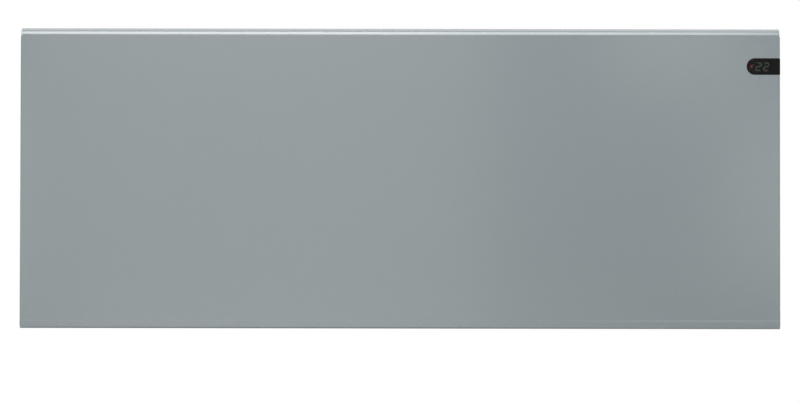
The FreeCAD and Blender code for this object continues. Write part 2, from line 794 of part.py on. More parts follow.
# The rear panel: a shallow channel with two stiffening beads and every rivet hole
def make_rear_panel():
    body = new_body("rear_panel")
    inner = f"{HALF_HEIGHT} - casing_sheet"
    width = around("0", f"{CAP_IN} - fit_gap")
    pad(body, "rear_channel", "YZ", width, polygon(
        (REAR_FLANGE_EDGE, HALF_HEIGHT), (REAR, HALF_HEIGHT),
        (REAR, f"-{HALF_HEIGHT}"), (REAR_FLANGE_EDGE, f"-{HALF_HEIGHT}"),
        (REAR_FLANGE_EDGE, f"-({inner})"), (REAR_IN, f"-({inner})"),
        (REAR_IN, inner), (REAR_FLANGE_EDGE, inner)))
    round_edges(body, "rear_bends", "rear_bend",
                straight_along("X", y=[REAR], z=[HALF_HEIGHT, f"-{HALF_HEIGHT}"]))
    round_edges(body, "rear_inner_bends", "max(rear_bend - casing_sheet; casing_sheet / 4)",
                straight_along("X", y=[REAR_IN], z=[inner, f"-({inner})"]))
    reach = f"{HALF_WIDTH} - bead_inset"
    levels = ("bead_level", "-bead_level")
    crown = f"{REAR} + bead_height"
    pad(body, "rear_beads", "XZ", (REAR, crown),
        *[stadium(around("0", reach), level, "bead_half_width") for level in levels])
    round_edges(body, "rear_bead_rounds", "bead_height * 0.6",
                lambda edge: abs(edge.BoundBox.YMin - value(crown)) < 1e-4)
    pocket(body, "rear_bead_hollows", "XZ", (REAR_IN, f"{crown} - casing_sheet"),
           *[stadium(around("0", reach), level, "bead_half_width - casing_sheet * 1.5")
             for level in levels])
    through = (f"{REAR_IN} - {OVERCUT}", f"{REAR} + {OVERCUT}")
    riveted = SADDLE_RIVETS + KEEPER_RIVETS + SHIELD_RIVETS + HANGER_RIVETS + PARTITION_RIVETS
    pocket(body, "rear_rivet_holes", "XZ", through, *holes(riveted, RIVET_HOLE))
    pocket(body, "rear_screw_holes", "XZ", through,
           *holes(CAP_SCREWS + [EARTH_PLACE], SCREW_HOLE), *holes(STANDOFFS, SNAP_HOLE))
    pocket(body, "rear_inlet_notch", "XZ",
           (f"{REAR_FLANGE_EDGE} - {OVERCUT}", f"{REAR} + {OVERCUT}"),
           rectangle(around(INLET_X, "inlet_half_width"),
                     (f"-{HALF_HEIGHT} - {OVERCUT}", INLET_TOP)))
    rows = (("top", TOP_SCREWS, GRILLE_FACE), ("low", LOW_SCREWS, f"-{HALF_HEIGHT}"))
    for name, places, level in rows:
        pocket(body, f"rear_{name}_holes", "XY",
               (f"{level} - {OVERCUT}", f"{level} + casing_sheet + {OVERCUT}"),
               *holes([(x, SCREW_LINE) for x in places], SCREW_HOLE))


# The slotted air grilles, welded under the front flanges and screwed to the rear ones
def make_grille(label, level, right_end, screw_places):
    body = new_body(label)
    span = (level, f"{level} + grille_sheet")
    left_end = f"-{GRILLE_END}"
    pad(body, label + "_strip", "XY", span,
        rectangle((left_end, right_end), (GRILLE_FRONT, GRILLE_REAR)))
    cutting = (f"{level} - {OVERCUT}", f"{level} + grille_sheet + {OVERCUT}")
    pocket(body, label + "_screw_holes", "XY", cutting,
           *holes([(x, SCREW_LINE) for x in screw_places], SCREW_HOLE))
    length = f"(({right_end}) - ({left_end}) - 2 * slot_side_margin)"
    gaps = f"floor({length} / slot_pitch)"
    first = f"((({right_end}) + ({left_end})) / 2 - {gaps} * slot_pitch / 2)"
    half = "slot_width / 2"
    slot = pocket(body, label + "_slot", "XY", cutting, stadium(
        first, (f"{FLANGE_EDGE} + slot_end_margin + {half}",
                f"{REAR_FLANGE_EDGE} - slot_end_margin - {half}"), half, upright=True))
    doc.recompute()
    pattern = body.newObject("PartDesign::LinearPattern", label + "_slots")
    pattern.Originals = [slot]
    pattern.Direction = (slot.Profile[0], ["H_Axis"])
    bind(pattern, "Length", f"{gaps} * slot_pitch")
    bind(pattern, "Occurrences", f"{gaps} + 1")
    body.Tip = pattern


# The moulded end caps: a side plate with a rim, and openings for the controls on the right
def make_end_cap(name, side):
    body = new_body(f"{name}_end_cap")
    corners = [f"{radius} - casing_sheet - fit_gap" for radius in ("foot_radius", "fold_radius")]
    pad(body, f"{name}_plate", "YZ", between(side, CAP_IN, HALF_WIDTH),
        tray((CAP_FRONT, REAR), around("0", CAP_TOP), *corners))
    face = value(f"{side} * {HALF_WIDTH}")
    round_edges(body, f"{name}_rounds", "cap_round",
                lambda edge: all(abs(vertex.X - face) < 1e-4 for vertex in edge.Vertexes))
    pad(body, f"{name}_rim", "YZ", between(side, RIM_IN, CAP_IN),
        tray((CAP_FRONT, RIM_REAR), around("0", RIM_TOP), *corners))
    inner = (f"{CAP_FRONT} + cap_rim_wall", f"{RIM_REAR} - cap_rim_wall")
    pocket(body, f"{name}_hollow", "YZ", between(side, RIM_IN, CAP_IN),
           tray(inner, around("0", f"{RIM_TOP} - cap_rim_wall"),
                "cap_inner_round", f"{corners[1]} - cap_rim_wall"))
    boss = f"{side} * {BOSS_X}"
    levels = ("boss_level", "-boss_level")
    pad(body, f"{name}_bosses", "XZ", (f"{RIM_REAR} - boss_length", RIM_REAR),
        *[circle(boss, level, "boss_radius") for level in levels])
    pocket(body, f"{name}_pilots", "XZ", (f"{REAR} - screw_length - {OVERCUT}", f"{REAR} + {OVERCUT}"),
           *[circle(boss, level, SCREW_HOLE) for level in levels])
    pocket(body, f"{name}_rebate", "YZ",
           between(side, f"{HALF_WIDTH} - casing_sheet - fit_gap", f"{HALF_WIDTH} + {OVERCUT}"),
           rectangle((f"{FRONT} - {OVERCUT}", f"{FRONT} + side_return + fit_gap"),
                     around("0", f"{HALF_HEIGHT} + {OVERCUT}")))
    if side < 0:
        return
    through = (f"{RIM_IN} - {OVERCUT}", f"{HALF_WIDTH} + {OVERCUT}")
    pocket(body, "right_window", "YZ", through,
           stadium((f"{FRONT} - lens_height", LENS_TAIL), LENS_Z, "lens_height / 2 + fit_gap"))
    pocket(body, "right_switch_hole", "YZ", through,
           rectangle(around(MAINS_Y, "mains_body_width / 2 + fit_gap"),
                     around(MAINS_Z, "mains_body_height / 2 + fit_gap")))


# The smoked display window, which wraps round the right edge and carries the keys
def make_lens():
    half = "lens_height / 2"
    tall = around(LENS_Z, half)
    blank = fuse(
        "lens_blank",
        box("lens_front_bar", (LENS_END, LENS_SIDE_FACE), (LENS_FACE, LENS_BACK), tall),
        rod("lens_front_end", "Y", (LENS_FACE, LENS_BACK), (LENS_END, LENS_Z), half),
        box("lens_side_bar", (LENS_SIDE_BACK, LENS_SIDE_FACE), (LENS_FACE, LENS_TAIL), tall),
        rod("lens_side_end", "X", (LENS_SIDE_BACK, LENS_SIDE_FACE), (LENS_TAIL, LENS_Z), half),
    )
    bored = cut("lens_bored", blank, *[
        rod(f"lens_key_hole_{number}", "X",
            (f"{LENS_SIDE_BACK} - {OVERCUT}", f"{LENS_SIDE_FACE} + {OVERCUT}"),
            (line, LENS_Z), "key_radius + key_side_gap")
        for number, line in enumerate(KEY_LINES)
    ])
    doc.recompute()
    corner = straight_along("Z", x=[LENS_SIDE_FACE], y=[LENS_FACE])
    item = doc.addObject("Part::Fillet", "display_lens")
    item.Base = bored
    item.Edges = [(number, value("side_radius"), value("side_radius"))
                  for number, edge in enumerate(bored.Shape.Edges, start=1) if corner(edge)]
    finish(item, "display_lens")


# What sits behind the window: digits, lamp, boards and their carrier
SEGMENTS_OF_TWO = "abged"


def segment_outline(letter, left, low):
    """The hexagon of one digit segment, leaning with the digit."""
    wide, tall = value("digit_width"), value("digit_height")
    half, gap, slant = value("segment_width / 2"), value("segment_gap"), value("digit_slant")
    left_line, right_line = half, wide - half
    levels = {"d": half, "g": tall / 2, "a": tall - half}
    if letter in levels:
        z = levels[letter]
        ends = ((left_line + gap, z), (right_line - gap, z))
        points = [(ends[0][0], z), (ends[0][0] + half, z + half), (ends[1][0] - half, z + half),
                  (ends[1][0], z), (ends[1][0] - half, z - half), (ends[0][0] + half, z - half)]
    else:
        x = left_line if letter in "ef" else right_line
        bottom, top = (half, tall / 2) if letter in "ec" else (tall / 2, tall - half)
        bottom, top = bottom + gap, top - gap
        points = [(x, bottom), (x + half, bottom + half), (x + half, top - half),
                  (x, top), (x - half, top - half), (x - half, bottom + half)]
    middle = tall / 2
    return [(left + x + slant * (z - middle), low + z) for x, z in points]


def make_display():
    module_span = (MODULE_LEFT, MODULE_RIGHT)
    module = box("display_module", module_span, (MODULE_FACE, MODULE_BACK),
                 around(LENS_Z, "module_height / 2"))
    finish(module, "display_module")
    middle = value(f"({MODULE_LEFT} + {MODULE_RIGHT}) / 2")
    face, relief = value(MODULE_FACE), value("segment_relief")
    solids = []
    for step in (-0.5, 0.5):
        left = middle + step * value("digit_pitch") - value("digit_width / 2")
        low = value(f"{LENS_Z} - digit_height / 2")
        for letter in SEGMENTS_OF_TWO:
            loop = [FreeCAD.Vector(x, face, z) for x, z in segment_outline(letter, left, low)]
            outline = Part.Face(Part.makePolygon(loop + loop[:1]))
            solids.append(outline.extrude(FreeCAD.Vector(0, -relief, 0)))
    segments = doc.addObject("Part::Feature", "display_segments")
    segments.Shape = Part.makeCompound(solids)
    finish(segments, "display_segments")
    led = f"({HALF_WIDTH} - led_inset)"
    lamp = new_body("status_led")
    turned(lamp, "status_led_turned", "Y", (led, LENS_Z), [
        (MODULE_BACK, "0"), (MODULE_BACK, "led_radius + led_rim"),
        (f"{MODULE_BACK} - led_foot", "led_radius + led_rim"),
        (f"{MODULE_BACK} - led_foot", "led_radius"), (f"{MODULE_FACE} + led_radius", "led_radius"),
        (f"{MODULE_FACE} + led_radius * 0.3", "led_radius * 0.7"), (MODULE_FACE, "0")])
    display_left = f"{led} - led_radius * 2"
    display_tall = around(LENS_Z, "module_height / 2 + display_board_edge")
    finish(box("display_board", (display_left, MODULE_RIGHT), (MODULE_BACK, DISPLAY_BOARD_BACK),
               display_tall), "display_board")
    board_tall = around(LENS_Z, "key_flange_radius + button_board_edge")
    first, last = KEY_LINES[0], KEY_LINES[-1]
    board_long = (f"{first} - switch_side", f"{last} + switch_side")
    finish(box("button_board", (BUTTON_BOARD_BACK, BUTTON_BOARD_FACE), board_long, board_tall),
           "button_board")
    group("button_switches", [
        fuse(f"button_switch_{number}",
             box(f"button_switch_case_{number}", (BUTTON_BOARD_FACE, SWITCH_TOP),
                 around(line, "switch_side / 2"), around(LENS_Z, "switch_side / 2")),
             rod(f"button_plunger_{number}", "X", (SWITCH_TOP, PLUNGER_TIP), (line, LENS_Z),
                 "switch_plunger_radius"))
        for number, line in enumerate(KEY_LINES)])
    ear_reach = "(lens_height / 2 + carrier_gap)"
    ears = {"high": (f"{LENS_Z} + {ear_reach}", f"{LENS_Z} + {ear_reach} + carrier_ear"),
            "low": (f"{LENS_Z} - {ear_reach} - carrier_ear", f"{LENS_Z} - {ear_reach}")}
    ear_rear = f"{last} + switch_side"
    web = (f"{BUTTON_BOARD_BACK} - carrier_wall", BUTTON_BOARD_BACK)
    tall = around(LENS_Z, f"{ear_reach} + carrier_ear")
    back = (DISPLAY_BOARD_BACK, f"{DISPLAY_BOARD_BACK} + carrier_wall")
    item = fuse(
        "display_carrier",
        box("carrier_back", (display_left, web[1]), back, display_tall),
        box("carrier_web", web, (back[0], ear_rear), tall),
        *[box(f"carrier_ear_{name}", (web[0], CAP_IN), (f"{ear_rear} - carrier_ear * 2", ear_rear), span)
          for name, span in ears.items()],
    )
    finish(item, "display_carrier")


def make_keys():
    top = f"({LENS_SIDE_FACE} + key_proud)"
    for label, line in zip(("minus_key", "menu_key", "plus_key"), KEY_LINES):
        body = new_body(label)
        turned(body, label + "_turned", "X", (line, LENS_Z), [
            (KEY_STEM_END, "0"), (KEY_STEM_END, "key_stem_radius"),
            (KEY_FLANGE_IN, "key_stem_radius"), (KEY_FLANGE_IN, "key_flange_radius"),
            (KEY_FLANGE_OUT, "key_flange_radius"), (KEY_FLANGE_OUT, "key_radius"),
            (f"{top} - key_proud", "key_radius"), (top, "key_radius - key_proud"),
            (top, "key_radius * 0.6"), (f"{top} - key_proud * 0.4", "0")])


# The mains switch in the right end cap, with its rocker at one end of its travel
def make_mains_switch():
    wide, tall = "mains_body_width / 2", "mains_body_height / 2"
    lip = "mains_bezel_lip"
    back = f"{HALF_WIDTH} - mains_body_depth"
    blank = fuse(
        "mains_blank",
        box("mains_bezel_plate", (HALF_WIDTH, f"{HALF_WIDTH} + mains_bezel"),
            around(MAINS_Y, f"{wide} + {lip}"), around(MAINS_Z, f"{tall} + {lip}")),
        box("mains_case", (back, HALF_WIDTH), around(MAINS_Y, wide), around(MAINS_Z, tall)),
        *[box(f"mains_blade_{number}", (f"{back} - mains_blade", back),
              around(MAINS_Y, "mains_blade_width / 2"),
              around(f"{MAINS_Z} + {step} * mains_body_height / 4", "mains_blade_sheet / 2"))
          for number, step in enumerate((-1, 1))],
    )
    hollow = box("mains_hollow",
                 (f"{HALF_WIDTH} - mains_well", f"{HALF_WIDTH} + mains_bezel + {OVERCUT}"),
                 around(MAINS_Y, f"{wide} - mains_wall"), around(MAINS_Z, f"{tall} - mains_end_wall"))
    bearing = rod("mains_bearing", "Y", around(MAINS_Y, f"{wide} + {OVERCUT}"),
                  (f"{HALF_WIDTH} - rocker_sink", MAINS_Z), "rocker_pin_radius + hole_clearance")
    finish(cut("mains_switch_body", blank, hollow, bearing), "mains_switch_body")
    body = new_body("mains_rocker")
    half = "(mains_body_height / 2 - mains_end_wall - rocker_end_gap)"
    depth = around("0", "mains_body_width / 2 - mains_wall - rocker_gap")
    pad(body, "rocker_cap", "XZ", depth, polygon(
        ("-rocker_root", f"-{half}"), ("rocker_crown", f"-{half}"), ("rocker_dip", "0"),
        ("rocker_crown", half), ("-rocker_root", half)))
    pad(body, "rocker_pins", "XZ", around("0", "mains_body_width / 2 - fit_gap"),
        circle("0", "0", "rocker_pin_radius"))
    round_edges(body, "rocker_rounds", "rocker_gap", straight_along("Y", x=["rocker_crown"]))
    body.Placement = FreeCAD.Placement(FreeCAD.Vector(), FreeCAD.Rotation(FreeCAD.Vector(0, 1, 0), 1))
    bind(body, "Placement.Rotation.Angle", "rocker_angle")
    for axis, place in (("x", f"{HALF_WIDTH} - rocker_sink"), ("y", MAINS_Y), ("z", MAINS_Z)):
        bind(body, f"Placement.Base.{axis}", place)


# The finned heating element, its bushes and its hangers
def make_element():
    fins = new_body("element_fins")
    span = (ELEMENT_LEFT, ELEMENT_RIGHT)
    for name, turn in (("rising", 1), ("falling", -1)):
        item = pad(fins, f"fin_{name}", "YZ", span,
                   rectangle(around("0", "fin_reach"), around("0", "fin_sheet / 2")))
        profile = item.Profile[0]
        profile.AttachmentOffset = FreeCAD.Placement(
            FreeCAD.Vector(), FreeCAD.Rotation(FreeCAD.Vector(0, 0, turn), 1))
        bind(profile, "AttachmentOffset.Rotation.Angle", "fin_angle")
        for axis, place in zip("xyz", (ELEMENT_Y, ELEMENT_Z, span[0])):
            bind(profile, f"AttachmentOffset.Base.{axis}", place)
    pad(fins, "fin_core", "YZ", span, circle(ELEMENT_Y, ELEMENT_Z, "core_radius"))
    doc.recompute()
    pocket(fins, "fin_bore", "YZ", (f"{span[0]} - {OVERCUT}", f"{span[1]} + {OVERCUT}"),
           circle(ELEMENT_Y, ELEMENT_Z, "rod_radius + hole_clearance"))
    rod_left, rod_right = f"({span[0]} - rod_overhang)", f"({span[1]} + rod_overhang)"
    centre = (ELEMENT_Y, ELEMENT_Z)
    finish(rod("element_rod", "X", (rod_left, rod_right), centre, "rod_radius"), "element_rod")
    group("element_terminals", [
        rod("terminal_left", "X", (f"{rod_left} - pin_length", rod_left), centre, "pin_radius"),
        rod("terminal_right", "X", (rod_right, f"{rod_right} + pin_length"), centre, "pin_radius")])
    collars = [("left", (f"{rod_left} - collar_length", rod_left)),
               ("right", (rod_right, f"{rod_right} + collar_length"))]
    group("terminal_insulators", [
        cut(f"collar_{name}", rod(f"collar_blank_{name}", "X", place, centre, "collar_radius"),
            rod(f"collar_bore_{name}", "X", around(f"({place[0]} + {place[1]}) / 2", "collar_length"),
                centre, "pin_radius + hole_clearance"))
        for name, place in collars])
    hangers, bushes = [], []
    for (place, side), name in zip(HANGERS, SIDES):
        web = around(place, "hanger_sheet / 2")
        foot = ((web[0], f"{web[0]} + hanger_foot") if side < 0
                else (f"{web[1]} - hanger_foot", web[1]))
        tall = around(ELEMENT_Z, "hanger_half")
        plate = fuse(f"hanger_blank_{name}",
                     box(f"hanger_web_{name}", web, (f"{ELEMENT_Y} - hanger_half", REAR_IN), tall),
                     box(f"hanger_foot_{name}", foot, (f"{REAR_IN} - hanger_sheet", REAR_IN), tall))
        tools = [rod(f"hanger_hole_{name}", "X", around(place, "hanger_sheet"), centre,
                     "bush_radius + hole_clearance")]
        tools += [rod(f"hanger_rivet_hole_{name}_{number}", "Y",
                      around(REAR_IN, f"hanger_sheet + {OVERCUT}"), rivet_place, RIVET_HOLE)
                  for number, rivet_place in enumerate(HANGER_RIVETS)]
        hangers.append(cut(f"element_hanger_{name}", plate, *tools))
        bush = doc.addObject("PartDesign::Body", f"element_bush_{name}")
        inner = f"{place} - {side} * hanger_sheet / 2"
        outer = f"{place} + {side} * hanger_sheet / 2"
        bore = "rod_radius + hole_clearance"
        flange, lip = f"{inner} - {side} * bush_flange", f"{outer} + {side} * bush_lip"
        turned(bush, f"bush_turned_{name}", "X", centre, [
            (flange, bore), (flange, "bush_flange_radius"), (inner, "bush_flange_radius"),
            (inner, "bush_radius"), (lip, "bush_radius"), (lip, bore)])
        bushes.append(bush)
    group("element_hangers", hangers)
    group("element_bushes", bushes)


# The reflector behind the element, and the overheat cut-out that it carries
def make_shield():
    body = new_body("heat_shield")
    skin = f"({SHIELD_FACE} + shield_sheet)"
    foot = f"({REAR_IN} - shield_sheet)"
    low, high, sheet = SHIELD_LOW, "shield_top", "shield_sheet"
    pad(body, "shield_hat", "YZ", (SHIELD_LEFT, SHIELD_RIGHT), polygon(
        (SHIELD_FACE, low), (foot, low),
        (foot, f"{low} - shield_foot"), (REAR_IN, f"{low} - shield_foot"),
        (REAR_IN, f"{low} + {sheet}"), (skin, f"{low} + {sheet}"),
        (skin, f"{high} - {sheet}"), (REAR_IN, f"{high} - {sheet}"),
        (REAR_IN, f"{high} + shield_foot"), (foot, f"{high} + shield_foot"),
        (foot, high), (SHIELD_FACE, high)))
    pocket(body, "shield_rivet_holes", "XZ", (f"{foot} - {OVERCUT}", f"{REAR_IN} + {OVERCUT}"),
           *holes(SHIELD_RIVETS, RIVET_HOLE))
    ear_places = [(f"{SHIELD_MIDDLE} + {step} * cutout_ear", "cutout_level") for step in (-1, 1)]
    pocket(body, "shield_cutout_holes", "XZ", (f"{SHIELD_FACE} - {OVERCUT}", f"{skin} + {OVERCUT}"),
           *holes(ear_places, RIVET_HOLE))
    cutout = new_body("thermal_cutout")
    ear_face = f"({SHIELD_FACE} - cutout_ear_sheet)"
    pad(cutout, "cutout_ears", "XZ", (ear_face, SHIELD_FACE),
        stadium(around(SHIELD_MIDDLE, "cutout_ear"), "cutout_level", "cutout_ear_half"))
    pad(cutout, "cutout_can", "XZ", (f"{SHIELD_FACE} - cutout_height", SHIELD_FACE),
        circle(SHIELD_MIDDLE, "cutout_level", "cutout_radius"))
    pad(cutout, "cutout_blades", "XZ", (BLADE_TIP, f"{SHIELD_FACE} - cutout_height"),
        *[rectangle(around(f"{SHIELD_MIDDLE} + {step} * cutout_radius / 2", "cutout_blade_sheet / 2"),
                    around("cutout_level", "cutout_blade_width / 2")) for step in (-1, 1)])
    pocket(cutout, "cutout_holes", "XZ", (f"{ear_face} - {OVERCUT}", f"{SHIELD_FACE} + {OVERCUT}"),
           *holes(ear_places, RIVET_HOLE))
    return rivets("cutout_rivet", "Y", (ear_face, skin), ear_places)


# The control bay: partition, power board and the pieces soldered on it
def make_partition():
    ring = "grommet_radius + grommet_wall"
    plate = fuse(
        "partition_blank",
        box("partition_web", (BAY, BAY_IN), (f"{FRONT_IN} + partition_gap", REAR_IN),
            around("0", RIM_TOP)),
        box("partition_flange", (f"{BAY} - partition_foot", BAY),
            (f"{REAR_IN} - partition_sheet", REAR_IN), around("0", RIM_TOP)))
    across = around(BAY, f"partition_sheet + {OVERCUT}")
    sensor_place = (f"({ELEMENT_Y} - sensor_forward)", f"(-{HALF_HEIGHT} + sensor_rise)")
    tools = [rod("partition_wire_hole", "X", across, GROMMET_PLACE, ring),
             rod("partition_sensor_hole", "X", across, sensor_place, "sensor_neck + hole_clearance")]
    for number, place in enumerate(PARTITION_RIVETS):
        tools.append(rod(f"partition_rivet_hole_{number}", "Y",
                         around(REAR_IN, f"partition_sheet + {OVERCUT}"), place, RIVET_HOLE))
    finish(cut("control_partition", plate, *tools), "control_partition")
    grommet = new_body("partition_grommet")
    hot, cold = f"{BAY} - grommet_cheek", f"{BAY_IN} + grommet_cheek"
    lip = f"{ring} + grommet_lip"
    turned(grommet, "grommet_turned", "X", GROMMET_PLACE, [
        (hot, "grommet_radius"), (hot, lip), (BAY, lip), (BAY, ring),
        (BAY_IN, ring), (BAY_IN, lip), (cold, lip), (cold, "grommet_radius")])
    sensor = new_body("room_sensor")
    tip, tail = f"{BAY} - sensor_length", f"{BAY_IN} + sensor_tail"
    turned(sensor, "sensor_turned", "X", sensor_place, [
        (tip, "0"), (tip, "sensor_radius * 0.6"), (f"{tip} + sensor_taper", "sensor_radius"),
        (BAY, "sensor_radius"), (BAY, "sensor_neck"), (tail, "sensor_neck"), (tail, "0")])


def make_power_board():
    board = new_body("power_board")
    pad(board, "board_blank", "XZ", (BOARD_FACE, BOARD_BACK),
        rectangle((BOARD_LEFT, f"{BOARD_LEFT} + board_width"), around("board_middle", "board_height / 2")))
    pocket(board, "board_holes", "XZ", (f"{BOARD_FACE} - {OVERCUT}", f"{BOARD_BACK} + {OVERCUT}"),
           *holes(STANDOFFS, SNAP_HOLE))
    master = doc.addObject("PartDesign::Body", "standoff_master")
    barb, tip, tail = "snap_radius + snap_barb", f"{BOARD_FACE} - snap_height", f"{REAR} + snap_height / 2"
    turned(master, "standoff_turned", "Y", ("0", "0"), [
        (tip, "0"), (tip, "snap_radius * 0.6"), (f"{tip} + snap_height / 2", barb), (BOARD_FACE, barb),
        (BOARD_FACE, "snap_radius"), (BOARD_BACK, "snap_radius"), (BOARD_BACK, "standoff_radius"),
        (REAR_IN, "standoff_radius"), (REAR_IN, "snap_radius"), (REAR, "snap_radius"),
        (REAR, barb), (tail, "snap_radius"), (tail, "0")])
    group("board_standoffs", copies("board_standoff", master, "xz", STANDOFFS))
    finish(box("power_relay", (PIECES_LEFT, f"{PIECES_LEFT} + relay_width"), (RELAY_FACE, BOARD_FACE),
               around(RELAY_Z, "relay_height / 2")), "power_relay")
    core_low = "(board_middle - core_drop)"
    core_tall = (core_low, f"{core_low} + core_height")
    core = box("transformer_core", (PIECES_LEFT, f"{PIECES_LEFT} + core_width"),
               (f"{BOARD_FACE} - core_depth", BOARD_FACE), core_tall)
    coil = box("transformer_coil",
               (f"{PIECES_LEFT} + coil_inset", f"{PIECES_LEFT} + core_width - coil_inset"),
               (f"{BOARD_FACE} - core_depth - coil_overhang", BOARD_FACE),
               (f"{core_tall[0]} - coil_overhang", f"{core_tall[1]} + coil_overhang"))
    finish(fuse("board_transformer", core, coil), "board_transformer")
    can = new_body("board_capacitor")
    top = f"{BOARD_FACE} - capacitor_length"
    turned(can, "capacitor_turned", "Y", (f"{PIECES_LEFT} + capacitor_offset", "board_middle"), [
        (BOARD_FACE, "0"), (BOARD_FACE, "capacitor_radius"), (f"{top} + capacitor_crimp", "capacitor_radius"),
        (top, "capacitor_radius - capacitor_crimp"), (top, "0")])


def make_terminals():
    face = f"{REAR_IN} - block_depth"
    block = box("terminal_case", around(INLET_X, "block_half_width"), (face, REAR_IN),
                (BLOCK_LOW, f"{BLOCK_LOW} + block_height"))
    wells = [rod(f"terminal_well_{number}", "Y", (f"{face} - {OVERCUT}", f"{face} + block_well_depth"),
                 (f"{INLET_X} + {step} * block_pitch", f"{BLOCK_LOW} + block_height / 2"),
                 "block_well_radius")
             for number, step in enumerate((-1, 0, 1))]
    finish(cut("terminal_block", block, *wells), "terminal_block")
    group("earth_screw", screws("earth_screw_one", "Y", REAR, 1, [EARTH_PLACE]))


# The recessed cord inlet and its gland
def make_inlet():
    body = new_body("cord_inlet_box")
    floor = (f"-{GRILLE_FACE}", f"-{GRILLE_BACK}")
    pad(body, "inlet_floor", "XY", floor,
        rectangle((f"{BAY_IN} + fit_gap", GRILLE_END), (GRILLE_FRONT, GRILLE_REAR)))
    half, wall = "inlet_half_width", "inlet_wall"
    pad(body, "inlet_block", "XY", (floor[0], f"{INLET_TOP} + {wall}"),
        rectangle(around(INLET_X, f"{half} + {wall}"), (f"{REAR} - inlet_depth - {wall}", REAR_IN)))
    pocket(body, "inlet_hollow", "XY", (f"-{HALF_HEIGHT} - {OVERCUT}", INLET_TOP),
           rectangle(around(INLET_X, half), (f"{REAR} - inlet_depth", f"{REAR} + {OVERCUT}")))
    pocket(body, "inlet_gland_hole", "XY",
           (f"{INLET_TOP} - {OVERCUT}", f"{INLET_TOP} + {wall} + {OVERCUT}"),
           circle(INLET_X, GLAND_Y, "gland_thread + hole_clearance"))
    pocket(body, "inlet_screw_hole", "XY", (f"{floor[0]} - {OVERCUT}", f"{floor[1]} + {OVERCUT}"),
           circle(LOW_SCREWS[-1], SCREW_LINE, SCREW_HOLE))
    gland = new_body("cable_gland")
    low, high = f"({INLET_TOP} - gland_below)", f"({INLET_TOP} + {wall} + gland_above)"
    turned(gland, "gland_turned", "Z", (INLET_X, GLAND_Y), [
        (low, "gland_bore"), (low, "gland_radius * 0.75"),
        (f"{low} + gland_below * 0.35", "gland_radius"), (INLET_TOP, "gland_radius"),
        (INLET_TOP, "gland_thread"), (high, "gland_thread"), (high, "gland_bore")])
    nut = new_body("gland_nut")
    tip = f"(gland_radius * {2 / math.sqrt(3):.6f})"
    corners = [(f"{INLET_X} + {u} * {tip}", f"{GLAND_Y} + {v} * gland_radius")
               for u, v in ((1, 0), (0.5, 1), (-0.5, 1), (-1, 0), (-0.5, -1), (0.5, -1))]
    base = f"({INLET_TOP} + {wall})"
    pad(nut, "nut_hexagon", "XY", (base, f"{base} + gland_nut"), polygon(*corners))
    pocket(nut, "nut_bore", "XY", (f"{base} - {OVERCUT}", f"{base} + gland_nut + {OVERCUT}"),
           circle(INLET_X, GLAND_Y, "gland_thread + hole_clearance"))


# What hangs the casing on the bracket: saddles on the pivots and keepers in the springs
def make_hanging_parts():
    pins = []
    for name, centre in ARM_CENTRES.items():
        saddle = new_body(f"hanger_saddle_{name}")
        low, high = f"{PIVOT_Z} - saddle_tail", f"{PIVOT_Z} + saddle_base"
        pad(saddle, f"saddle_base_{name}", "XZ", (REAR, f"{REAR} + saddle_sheet"),
            rectangle(around(centre, "saddle_width / 2"), (low, high)))
        tail = f"{PIVOT_Y} + saddle_tail"
        pad(saddle, f"saddle_web_{name}", "YZ", around(centre, "saddle_sheet / 2"), polygon(
            (REAR, low), (tail, low), (tail, f"{PIVOT_Z} + saddle_tail"),
            (REAR, f"{PIVOT_Z} + saddle_web")))
        pocket(saddle, f"saddle_notch_{name}", "YZ", around(centre, "saddle_sheet"),
               stadium(PIVOT_Y, (f"{PIVOT_Z} - saddle_tail * 2", PIVOT_Z), "pivot_pin + pivot_clearance",
                       upright=True))
        pocket(saddle, f"saddle_holes_{name}", "XZ",
               (f"{REAR} - {OVERCUT}", f"{REAR} + saddle_sheet + {OVERCUT}"),
               *holes([p for p in SADDLE_RIVETS if p[0] == centre], RIVET_HOLE))
        keeper = new_body(f"catch_keeper_{name}")
        pad(keeper, f"keeper_base_{name}", "XZ", (REAR, f"{REAR} + keeper_sheet"),
            rectangle(around(centre, "keeper_half"), around(CATCH_Z, "keeper_base")))
        for edge, step in (("near", -1), ("far", 1)):
            cheek = between(step, "keeper_half - keeper_sheet", "keeper_half")
            pad(keeper, f"keeper_cheek_{name}_{edge}", "YZ", tuple(f"{centre} + {end}" for end in cheek),
                rectangle((REAR, f"{CATCH_Y} + catch_pin * 2"), around(CATCH_Z, "keeper_cheek")))
        pocket(keeper, f"keeper_pin_holes_{name}", "YZ", around(centre, f"keeper_half + {OVERCUT}"),
               circle(CATCH_Y, CATCH_Z, "catch_pin + hole_clearance"))
        pocket(keeper, f"keeper_holes_{name}", "XZ",
               (f"{REAR} - {OVERCUT}", f"{REAR} + keeper_sheet + {OVERCUT}"),
               *holes([p for p in KEEPER_RIVETS if p[0] == centre], RIVET_HOLE))
        pins.append(rod(f"catch_pin_{name}", "X", around(centre, "keeper_half"),
                        (CATCH_Y, CATCH_Z), "catch_pin"))
    group("catch_pins", pins)


# The wall bracket: two channels, two crossbars, pivot pins and catch springs
BAR_LEVELS = {"upper": "crossbar_level", "lower": "-crossbar_level"}
BAR_RIVET_Y = "(-arm_sheet - (crossbar_tab - arm_sheet) / 2)"
BAR_END = "(arm_spacing / 2 - arm_width / 2)"


